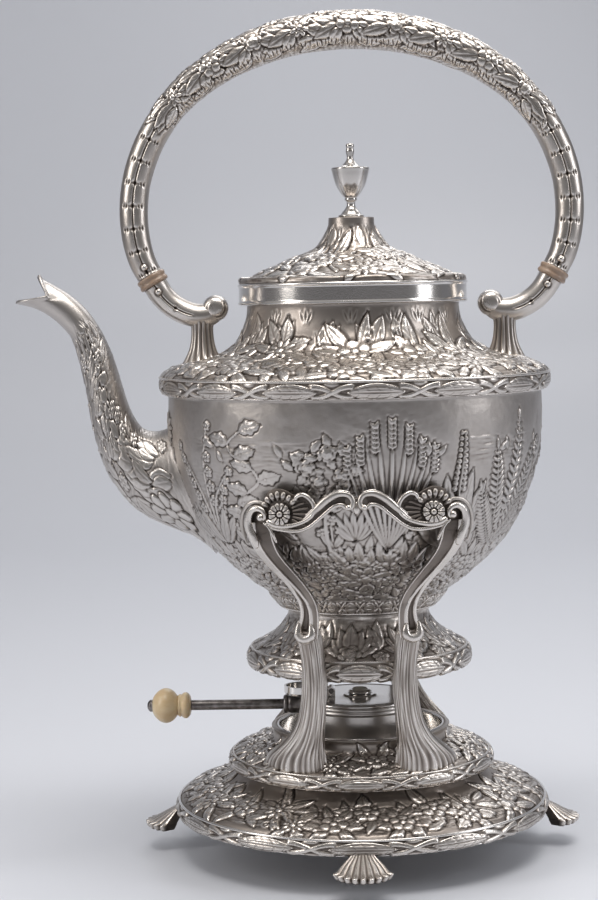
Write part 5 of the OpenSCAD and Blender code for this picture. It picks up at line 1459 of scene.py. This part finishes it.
def handle():
    pts = [(-x, z, a, b) for x, z, a, b in HALF[:0:-1]] + HALF
    L = smooth_line(pts, 0.45 / FINE)
    s = arc_of(L[:, :2])
    nt = int(132 * FINE)
    F = Field(s, (L[:, 2] + L[:, 3]) / 2, nt)
    g = np.random.default_rng(71)
    mid = s[-1] / 2
    # angle 0 faces outwards, a quarter turn on faces the front, then inwards, then the back
    top = 99
    # segments of the side cane: a seam on the front and on the back, with a knot each 10 mm
    j = (np.arange(nt) * F.d)[None, :]
    seg = np.abs(s - mid)[:, None]
    side = smoothstep(top - 6, top + 4, seg)
    for face in (math.pi / 2, 3 * math.pi / 2):
        off = (j - face + math.pi) % TAU - math.pi
        x = off * F.r[:, None]
        k = ((seg - top) / 10.6) % 1.0
        knot = np.minimum(k, 1 - k) * 10.6
        line = np.exp(-((x / 0.42) ** 2)) * 0.75
        tick = np.exp(-((knot / 0.75) ** 2)) * np.exp(-((x / 1.35) ** 2)) * 0.9
        for at in (3.0, 4.5):
            tick = tick + np.exp(-((knot / 0.9) ** 2)) * np.exp(-(((np.abs(x) - at) / 0.4) ** 2)) * 0.6
        swell = 0.22 * np.sin(math.pi * k) ** 0.6 * np.exp(-((x / 6.5) ** 2))
        F.H += side * (swell - line - tick)
        # little flower where the cane meets its ring
    for e in (s[0] + 4.2, s[-1] - 4.2):
        for face in (math.pi / 2, 3 * math.pi / 2):
            bud(F, face, e, 1.5, 1.0, 0.3)
    # leaves that lie over the top
    F.flat = 0.6
    for i in range(26):
        c = mid + (-1 + 2 * (i + 0.5) / 26) * (top - 8)
        for face in (0.1, 0.75, -0.6, 2.2, -2.2):
            leaf(F, (face + 0.3 * (g.random() - 0.5)) % TAU, c + 5 * (g.random() - 0.5), math.pi / 2 * (1 if g.random() < 0.5 else -1) + 1.1 * (g.random() - 0.5), 10 + 4 * g.random(), 2.6 + 0.8 * g.random(), 0.6, bend=0.5 * (g.random() - 0.5), veins=3, keep=0.1)
    # on each face a row of blossoms, with pointed leaves to both sides and drooping ones between
    for i in range(9):
        c = mid + (i - 4) * 22.0
        for fs in (1, -1):
            down = 0.0 if fs > 0 else math.pi
            for j in range(4):
                leaf(F, ((1.0 + 0.12 * j) * fs) % TAU, c + 8.0 + 1.9 * j, down + fs * (0.25 + 0.12 * j), 9.5 - 0.8 * j, 1.9, 0.6, bend=0.35 * fs, veins=0, keep=0.1, rib=0.5)
            for way in (1, -1):
                for da, long, wide in ((-0.75, 9.0, 2.4), (-0.2, 13.0, 2.9), (0.38, 14.0, 3.0), (0.95, 10.0, 2.5)):
                    if i == 4 or way == (1 if i > 4 else -1) or abs(da) < 0.5:
                        leaf(F, ((1.32 + 0.16 * da) * fs) % TAU, c + 2.6 * way, way * (math.pi / 2 - fs * da), long + g.random(), wide, 0.72, bend=0.25 * way * fs * (g.random() - 0.2), veins=4, keep=0.1, rib=0.5)
            # short cut lines hang down to the inner side
            for j in range(9):
                leaf(F, (2.05 * fs) % TAU, c - 11 + 2.5 * j + 0.8 * g.random(), down + 0.5 * (g.random() - 0.5), 3.2 + 1.6 * g.random(), 0.34, -0.4, veins=0, rib=0)
            f1 = (1.3 * fs) % TAU
            if i % 3 == 1:
                flower(F, f1, c, 5.2, 5, 0.85, g.random() * 6, 0.2, "round")
            elif i % 3 == 2:
                rose(F, f1, c, 4.4, 0.85, g.random() * 6)
            else:
                flower(F, f1, c, 5.0, 8, 0.8, g.random() * 6, 0.2, "point")
            bud(F, (0.98 * fs) % TAU, c + 5.5, 1.3, 0.8)
            bud(F, (0.98 * fs) % TAU, c - 5.5, 1.1, 0.8)
        flower(F, 0.0, c + 11, 4.6, 6, 0.75, g.random() * 6, 0.2, "notch")
    # the leaves end in two long points on the sides
    for sgn in (-1, 1):
        for face in (math.pi / 2, 3 * math.pi / 2):
            for off in (-0.36, 0.0, 0.36):
                leaf(F, face + off, mid + sgn * (top - 9), sgn * math.pi / 2 - off * 0.9 * sgn, 14 - 8 * abs(off), 2.4, 0.75, bend=-off * 0.4, keep=0.1)
    ground(F, g, mid - top, mid + top, 0.05)
    a = np.arange(nt) * F.d
    t = np.gradient(L[:, :2], axis=0)
    t /= np.linalg.norm(t, axis=1, keepdims=True)
    out = np.stack([-t[:, 1], t[:, 0]], 1)  # away from the middle of the hoop
    if (out * (L[:, :2] - [0, 290])).sum() < 0:
        out = -out
    co = np.stack([
        L[:, 0:1] + out[:, 0:1] * L[:, 2:3] * np.cos(a),
        -L[:, 3:4] * np.sin(a) + 0 * L[:, 0:1],
        L[:, 1:2] + out[:, 1:2] * L[:, 2:3] * np.cos(a),
    ], 2)
    N = skin_normals(co)
    fade = (smoothstep(0, 0.8, s) * smoothstep(0, 0.8, s[-1] - s))[:, None]
    H = (blurred(F.H, 0.5, 0.5) - 0.25) * fade
    cav = cavity(F, near=0.8, far=2.2, gain=0.9, gain_far=0.35, mid=0.62)
    sh = Shape()
    loft(sh, co + N * H[:, :, None], cav)
    sh.object("handle_hoop", RELIEF, "kettle", ["handle_grip"], "silver")


handle()


def about(centre, axis, pts, nt, cav=0.72):
    """A turned shape about any axis. pts are (radius, distance along the axis)."""
    axis = np.asarray(axis, float) / np.linalg.norm(axis)
    u = np.cross(axis, [0, 1, 0])
    u /= np.linalg.norm(u)
    w = np.cross(axis, u)
    line = smooth_line(pts, 0.35)
    sh = Shape()
    revolve(sh, line, nt, closed=False, cav=cav)
    c = sh.co[0].copy()
    sh.co[0] = np.asarray(centre) + c[:, 0:1] * u + c[:, 1:2] * w + c[:, 2:3] * axis
    return sh


def ends(sgn, side):
    # ring that keeps the heat from the grip
    axis = (sgn * 2.5, 0, 4.4)
    r = about((sgn * 93.15, 0, 258.6), axis, [(0, -2.53), (5.6, -2.53), (5.6, -2.53), (6.6, -2.45), (7.05, -1.9), (7.1, -1.1), (6.8, -0.35), (6.72, 0), (6.8, 0.35), (7.1, 1.1), (7.05, 1.9), (6.6, 2.45), (5.6, 2.53), (5.6, 2.53), (0, 2.53)], 96)
    r.object(side + "_insulator_ring", INSULATOR, "kettle", [side + "_insulator"], "insulator")
    # the arm, which ends in a rolled knob
    path = [(91.9, 256.4, 5.9), (89, 251.8, 5.8), (84.6, 247.2, 5.75), (78.6, 243.6, 5.7), (72.6, 241.9, 5.7), (67.6, 242.2, 5.6), (64.6, 243.8, 5.2)]
    L = smooth_line(path, 0.4)
    s = arc_of(L[:, :2])
    nt = 120
    F = Field(s, L[:, 2], nt)
    j = (np.arange(nt) * F.d)[None, :]
    stop = 25.0
    for face in (math.pi / 2, 3 * math.pi / 2):
        x = ((j - face + math.pi) % TAU - math.pi) * F.r[:, None]
        k = ((s[:, None] - 4) / 10.6) % 1.0
        knot = np.minimum(k, 1 - k) * 10.6
        on_ = smoothstep(stop, stop - 4, s)[:, None]
        F.H -= on_ * 0.75 * np.exp(-((x / 0.42) ** 2))
        F.H -= on_ * np.exp(-((knot / 0.75) ** 2)) * np.exp(-((x / 1.3) ** 2)) * 0.8
        bud(F, face, 3.6, 1.5, 1.0, 0.3)
    H = F.H * smoothstep(0, 0.6, s)[:, None] - 0.1
    cav = cavity(F, near=0.8, far=2.4, gain=0.6, gain_far=0.3, mid=0.66)
    t = np.gradient(L[:, :2], axis=0)
    t /= np.linalg.norm(t, axis=1, keepdims=True)
    out = np.stack([t[:, 1] * -1, t[:, 0]], 1)
    r_ = L[:, 2]
    a = j[0]
    co = np.stack([L[:, 0:1] + out[:, 0:1] * r_[:, None] * np.cos(a), -r_[:, None] * np.sin(a) + 0 * L[:, 0:1], L[:, 1:2] + out[:, 1:2] * r_[:, None] * np.cos(a)], 2)
    co = co + skin_normals(co) * H[:, :, None]
    sh = Shape()
    loft(sh, co, cav)
    # the knob: a short roll, round at both faces, with a groove that winds in from where it meets the arm
    n_, m_ = 64, 96
    psi = np.arange(m_) * TAU / m_
    q = np.linspace(-math.pi / 2, math.pi / 2, n_)[1:-1]
    R = 6.1 * np.cos(q)[:, None] ** 0.62 + 0 * psi
    Y = 5.9 * np.sin(q)[:, None] + 0 * psi
    turn_ = (psi[None, :] - 2.5) % TAU
    spiral = 5.1 - 2.2 * turn_ / TAU
    carve = np.exp(-(((R - spiral) / 0.42) ** 2)) * (np.abs(Y) > 1.5) * smoothstep(0, 0.06 * TAU, turn_) * (1 - smoothstep(0.5 * TAU, 0.8 * TAU, turn_))
    depth = 0.45 * carve
    K = np.stack([64.0 + (R - 0.3 * carve) * np.cos(psi), Y - np.sign(Y) * depth, 245.2 + (R - 0.3 * carve) * np.sin(psi)], 2)
    loft(sh, K, 0.74 - 0.34 * carve)
    if sgn < 0:
        sh = mirrored(sh, -1, 1)
    sh.object(side + "_arm", CAST, "kettle", [side + "_handle_arm"], "silver")
    # fluted post that spreads on the shoulder
    z, r = np.array([(217.5, 14.0), (219.2, 11.4), (220.8, 9.3), (222.6, 7.8), (225, 6.6), (228, 5.7), (232, 5.1), (236, 5.0), (239, 5.4), (241.5, 5.2)]).T
    L = smooth_line(np.stack([z, r], 1), 0.4)
    a = np.arange(160) * TAU / 160
    fl = np.abs(np.cos(7 * a)) ** 0.7
    amp = 0.14 + 0.06 * (1 - smoothstep(220, 228, L[:, 0]))
    f = 1 + amp[:, None] * (fl - 0.75)
    co = np.stack([sgn * 70.5 + L[:, 1:2] * np.cos(a) * f, L[:, 1:2] * np.sin(a) * f * 0.92, L[:, 0:1] + 0 * f], 2)
    # the spread lies on the slope of the shoulder
    slope = (1 - smoothstep(217, 224, L[:, 0]))[:, None]
    rad = np.hypot(co[:, :, 0], co[:, :, 1])
    co[:, :, 2] += slope * (70.5 - rad) * 0.30
    sh = Shape()
    loft(sh, co, 0.30 + 0.38 * fl[None, :] + 0 * L[:, 0:1])
    sh.object(side + "_post", CAST, "kettle", [side + "_handle_post"], "silver")


ends(1, "right")
ends(-1, "left")

SPOUT = [(-78, 194, -66, 130, 25), (-88, 189.6, -76, 138, 23), (-94.5, 188.4, -91, 144.8, 20.5), (-99.5, 190, -101.5, 150.4, 18.5), (-103.4, 195.2, -110.2, 159.2, 16.8), (-106.4, 202.6, -116, 168, 15), (-108.6, 210.4, -120.4, 179.6, 13.4), (-110.8, 218.4, -123.2, 192, 12), (-113, 225.4, -125, 203.6, 10.6), (-115.6, 231.6, -126.8, 213.6, 9.4), (-118.6, 237.6, -129, 224, 8.4), (-122.4, 243.2, -132, 232.6, 7.8), (-127.4, 248.8, -136.6, 238.4, 7.4), (-133, 253.4, -142, 243, 7.2), (-138.4, 256.6, -147.6, 246, 7.2), (-143.6, 259.6, -154, 247.6, 7.6), (-145.2, 261.2, -156, 248.6, 8)]


def spout():
    E = smooth_line(SPOUT, 0.8)
    c = (E[:, :2] + E[:, 2:4]) / 2
    s0 = arc_of(c)
    n = int(s0[-1] / 0.5 * FINE)
    s = np.linspace(0, s0[-1], n)
    E = np.stack([np.interp(s, s0, E[:, i]) for i in range(5)], 1)
    c = (E[:, :2] + E[:, 2:4]) / 2
    up = E[:, :2] - E[:, 2:4]
    half = np.linalg.norm(up, axis=1) / 2
    up /= 2 * half[:, None]
    nt = int(330 * FINE)
    a = np.arange(nt) * TAU / nt
    # root rows start where the tube comes out of the bowl
    P = np.stack([
        c[:, 0:1] + up[:, 0:1] * half[:, None] * np.cos(a),
        -E[:, 4:5] * np.sin(a),
        c[:, 1:2] + up[:, 1:2] * half[:, None] * np.cos(a),
    ], 2)
    bz, br = np.array(BOWL_OUT)[:, 1], np.array(BOWL_OUT)[:, 0]
    inside = np.interp(P[:, :, 2], bz, br) - np.hypot(P[:, :, 0], P[:, :, 1]) - 0.7
    first = np.argmax(inside < 0, axis=0)
    first = np.round(blurred(np.tile(first, (3, 1)).astype(float), 0.01, 2)[1]).astype(int).clip(0, n - 60)
    span = 46
    idx = np.arange(n)[:, None] + np.clip(first[None, :] * (1 - np.arange(n)[:, None] / (first[None, :] * 1.6 + span)), 0, None)
    lo_ = np.floor(idx).astype(int).clip(0, n - 2)
    w = (idx - lo_)[:, :, None]
    col = np.arange(nt)[None, :].repeat(n, 0)
    P = P[lo_, col] * (1 - w) + P[lo_ + 1, col] * w
    F = Field(s, np.sqrt(half * E[:, 4]), nt)
    g = np.random.default_rng(83)
    S = s[-1]
    F.flat = 0.75
    # on each side a big flower at the belly and long leaves that climb the neck; the strip along the top stays plain
    for face, m in ((math.pi / 2, 1), (3 * math.pi / 2, -1)):
        for k in range(6):
            leaf(F, face + m * (0.55 - 0.2 * k), 13 + 4.5 * k, math.pi / 2 + m * (0.5 - 0.2 * k), 22 - 1.2 * k, 4.2, 0.6, bend=-0.25 * m, lobes=4 if k % 2 else 0, veins=6)
        leaf(F, face - m * 0.45, 17, math.pi / 2 - m * 0.35, 22, 4.2, 0.6, bend=0.3 * m, veins=6)
        leaf(F, face - m * 0.1, 33, math.pi / 2 - m * 0.5, 18, 4.0, 0.6, bend=0.2 * m, veins=5)
        flower(F, face + m * 1.15, 27, 5.4, 6, 0.8, 0.5, 0.2, "round")
        rose(F, face + m * 1.1, 10, 5.0, 0.9, 0.2)
        for k in range(8):
            q = 46 + 10.5 * k
            if q > S - 34:
                break
            sd = 1 if k % 2 else -1
            leaf(F, face + m * 0.15 + 0.1 * sd, q - 3, math.pi / 2 + sd * 0.5, 15 - 0.6 * k, 4.6 - 0.25 * k, 0.8, bend=-0.3 * sd, veins=4, keep=0.1)
            leaf(F, face + m * 0.1 - 0.35 * sd, q + 1, math.pi / 2 - sd * 0.55, 10 - 0.4 * k, 2.8 - 0.1 * k, 0.7, bend=0.3 * sd, veins=3, keep=0.1)
            if k % 3 == 1:
                flower(F, face + m * 0.75, q + 3, 4.2 - 0.15 * k, 6, 0.7, g.random() * 6, 0.2, "round")
            for j in range(3):
                leaf(F, face - m * 0.35 + 0.05 * j, q + 3 + 0.8 * (j == 1), math.pi / 2 - 0.3 * (j - 1), 5.0, 0.36, -0.4, veins=0, rib=0)
    # underneath
    for k in range(13):
        q = 12 + 9 * k
        if q > S - 38:
            break
        leaf(F, math.pi + 0.24 * (k % 2 - 0.5), q, math.pi / 2 + 0.6 * (g.random() - 0.5), 12, 3.0, 0.6, bend=0.4 * (g.random() - 0.5), lobes=int(g.choice([0, 3])), veins=4)
        bud(F, math.pi + 0.35, q + 3, 1.2, 0.7)
        bud(F, math.pi - 0.35, q + 1, 1.2, 0.7)
    for k in range(260):
        q = 4 + (S - 46) * g.random()
        th = g.random() * TAU
        if F.covered(th, q) > 0.2 or min(th, TAU - th) < (0.75 if q < 42 else 1.0):
            continue
        big = float(np.interp(q, [0, 40, S], [1.5, 1.1, 0.9]))
        if k % 7 == 5:
            flower(F, th, q, 3.2 * big, 6, 0.7, g.random() * 6, 0.2, "round")
        else:
            leaf(F, th, q, math.pi / 2 + 1.6 * (g.random() - 0.5), (8.5 + 3.5 * g.random()) * big, (2.1 + 0.6 * g.random()) * big, 0.5, bend=0.4 * (g.random() - 0.5), keep=0.2, veins=3)
    for face, m in ((math.pi / 2, 1), (3 * math.pi / 2, -1)):
        flower(F, face + m * 0.62, 14.5, 9.6, 8, 1.25, 0.2, 0.05, "round")
    # small strokes that end the relief before the plain beak
    for k in range(2, 15):
        leaf(F, TAU * k / 16, S - 42 + 2 * g.random(), math.pi / 2, 7 + 2 * g.random(), 1.1, 0.5, veins=0)
    ground(F, g, 0, S - 36, 0.03)
    N = skin_normals(P)
    fade = (smoothstep(0, 3, s) * smoothstep(S - 26, S - 34, s))[:, None]
    H = (blurred(F.H, 0.5, 0.5) - 0.2) * fade
    cav = cavity(F, near=0.8, far=2.4, gain=0.8, gain_far=0.3, mid=0.64)
    cav = cav * (1 - smoothstep(S - 38, S - 28, s)[:, None]) + 0.66 * smoothstep(S - 38, S - 28, s)[:, None]
    outer = P + N * H[:, :, None]
    # the beak: a long lower lip, notched sides and a small turned up point above
    d = np.array([-0.76, 0, 0.65])
    th = np.degrees(np.minimum(a, TAU - a))  # 0 at the top, 180 underneath
    cth = np.cos(np.radians(th))
    e = np.where(cth < 0.47, -8.4 + 10.2 * (0.47 - cth) / 1.47, -8.4 + 10.0 * (cth - 0.47) / 0.53)
    e = blurred(np.tile(e, (3, 1)), 0.01, 5 * FINE)[1]
    pull = smoothstep(S - 22, S, s)[:, None] ** 1.5
    shiftv = (pull * e[None, :])[:, :, None] * d
    outer = outer + shiftv
    # lips turn out a little
    lipw = smoothstep(S - 3.2, S, s)[:, None]
    outer = outer + N * (0.55 * lipw)[:, :, None]
    deep = s > S - 34
    thick = 1.25 - 0.15 * lipw[deep]
    inner = (P + shiftv)[deep] - N[deep] * thick[:, :, None]
    inner = inner[::-1][:: 2]
    rim_pt = (outer[-1] + (P + shiftv)[-1] - N[-1] * 0.8) / 2 + d * 0.35
    full = np.concatenate([outer, rim_pt[None], inner])
    # the lip's edge is light, and inside the mouth the colour is painted darker with depth, a painted shade
    cv = np.concatenate([cav, np.full((1, nt), 0.85), np.tile(np.linspace(0.6, 0.1, len(inner))[:, None], (1, nt))])
    sh = Shape()
    loft(sh, full, cv)
    sh.object("spout_relief", SOFT, "kettle", ["spout"], "silver")


spout()

# ------------------------------------------------------- pieces kept as they are
SLOTS = {"silver": CAST, "polished_silver": PLAIN, "steel": STEEL, "ivory": IVORY, "insulator": INSULATOR, "wick": COTTON}
KIND = {x["node"]: x["material_slot"] for x in frame["record"]["subparts"]}
for n, o in frame["nodes"].items():
    me = o.data
    if "cav" not in me.attributes:
        a = me.attributes.new("cav", "FLOAT", "POINT")
        a.data.foreach_set("value", np.full(len(me.vertices), 0.74, np.float32))
    for i in range(len(o.material_slots)):
        o.material_slots[i].material = SLOTS[KIND[n]]


# ---------------------------------------------------------- stage, lights
def stage():
    # a floor that sweeps up behind, in one pale sheet
    y = [-1.6, 0.9, 1.15, 1.32, 1.42, 1.46]
    z = [0, 0, 0.03, 0.12, 0.3, 2.6]
    prof = np.concatenate([[[-9, 0]], smooth_line(list(zip(y, z)), 0.05)])
    xs = np.linspace(-9, 9, 7)
    co = np.array([[x, a, b] for a, b in prof for x in xs])
    me = bpy.data.meshes.new("floor")
    me.from_pydata(co.tolist(), [], grid(len(prof), len(xs), False, False).tolist())
    if me.polygons[0].normal.z < 0:
        me.flip_normals()
    me.polygons.foreach_set("use_smooth", np.ones(len(me.polygons), bool))
    ob = bpy.data.objects.new("floor", me)
    bpy.context.scene.collection.objects.link(ob)
    m, nt, p = material("pale_floor")
    p.inputs["Base Color"].default_value = (0.62, 0.64, 0.69, 1)
    p.inputs["Roughness"].default_value = 0.35
    # the sheet shows from its front only, so that it never stands before the object
    side = nt.nodes.new("ShaderNodeNewGeometry")
    clear = nt.nodes.new("ShaderNodeBsdfTransparent")
    mix = nt.nodes.new("ShaderNodeMixShader")
    end = next(n for n in nt.nodes if n.type == "OUTPUT_MATERIAL")
    nt.links.new(side.outputs["Backfacing"], mix.inputs[0])
    nt.links.new(p.outputs[0], mix.inputs[1])
    nt.links.new(clear.outputs[0], mix.inputs[2])
    nt.links.new(mix.outputs[0], end.inputs["Surface"])
    me.materials.append(m)


stage()


def area(name, at, to, size, power, colour=(1, 1, 1), spread=180):
    d = bpy.data.lights.new(name, "AREA")
    d.shape = "RECTANGLE"
    d.size, d.size_y = size
    d.energy = power
    d.color = colour
    d.spread = math.radians(spread)
    o = bpy.data.objects.new(name, d)
    o.location = at
    o.rotation_mode = "QUATERNION"
    o.rotation_quaternion = (Vector(to) - Vector(at)).to_track_quat("-Z", "Y")
    bpy.context.scene.collection.objects.link(o)
    return o


area("softbox_top", (0.1, -0.2, 1.3), (0, 0, 0.15), (0.9, 0.7), 12, (1.0, 0.97, 0.93))
area("softbox_left", (-1.15, -0.5, 0.7), (0, 0, 0.2), (0.35, 0.9), 5, (1.0, 0.97, 0.94))
area("softbox_right", (1.2, -0.3, 0.65), (0, 0, 0.2), (0.35, 0.9), 4.5, (0.96, 0.97, 1.0))
area("softbox_back", (0.3, 1.0, 1.1), (0, 0.1, 0.2), (1.2, 0.5), 4)

world = bpy.data.worlds.new("studio")
bpy.context.scene.world = world
world.use_nodes = True
wn = world.node_tree
for n in list(wn.nodes):
    wn.nodes.remove(n)
wo = wn.nodes.new("ShaderNodeOutputWorld")
bg = wn.nodes.new("ShaderNodeBackground")
tc = wn.nodes.new("ShaderNodeTexCoord")
sx = wn.nodes.new("ShaderNodeSeparateXYZ")
wn.links.new(tc.outputs["Generated"], sx.inputs[0])
wr = ramp(wn, [(0.0, (0.20, 0.195, 0.195)), (0.45, (0.12, 0.115, 0.115)), (0.6, (0.17, 0.165, 0.165)), (0.85, (0.42, 0.41, 0.41)), (1.0, (0.62, 0.61, 0.61))])
mr = wn.nodes.new("ShaderNodeMapRange")
mr.inputs["From Min"].default_value = -1
mr.inputs["From Max"].default_value = 1
wn.links.new(sx.outputs["Z"], mr.inputs["Value"])
wn.links.new(mr.outputs["Result"], wr.inputs[0])
# the room is darker in front of the object than behind it
fr = wn.nodes.new("ShaderNodeMapRange")
fr.inputs["From Min"].default_value = -0.9
fr.inputs["From Max"].default_value = 0.2
fr.inputs["To Min"].default_value = 0.85
fr.inputs["To Max"].default_value = 1.0
wn.links.new(sx.outputs["Y"], fr.inputs["Value"])
wn.links.new(fr.outputs["Result"], bg.inputs["Strength"])
wn.links.new(wr.outputs[0], bg.inputs["Color"])
# beyond the edge of the floor the room looks as the far floor does
far = wn.nodes.new("ShaderNodeBackground")
far.inputs["Color"].default_value = (0.205, 0.205, 0.215, 1)
ray = wn.nodes.new("ShaderNodeLightPath")
pick = wn.nodes.new("ShaderNodeMixShader")
wn.links.new(ray.outputs["Is Camera Ray"], pick.inputs[0])
wn.links.new(bg.outputs[0], pick.inputs[1])
wn.links.new(far.outputs[0], pick.inputs[2])
wn.links.new(pick.outputs[0], wo.inputs[0])

cam_data = bpy.data.cameras.new("camera")
cam = bpy.data.objects.new("camera", cam_data)
bpy.context.scene.collection.objects.link(cam)
cam_data.sensor_fit = "AUTO"
cam_data.sensor_width = 36
cam_data.lens = 79.65
cam_data.clip_start, cam_data.clip_end = 0.01, 20
cam.location = (0, -0.9307, 0.2488)
cam.rotation_mode = "QUATERNION"
yaw, pitch, roll = -0.0284, 0.0758, -0.0205
look = Vector((math.sin(yaw) * math.cos(pitch), math.cos(yaw) * math.cos(pitch), -math.sin(pitch)))
cam.rotation_quaternion = look.to_track_quat("-Z", "Y") @ Quaternion((0, 0, 1), roll)
bpy.context.scene.camera = cam

sc = bpy.context.scene
sc.view_settings.view_transform = "Standard"
sc.view_settings.look = "None"

bpy.context.view_layer.update()
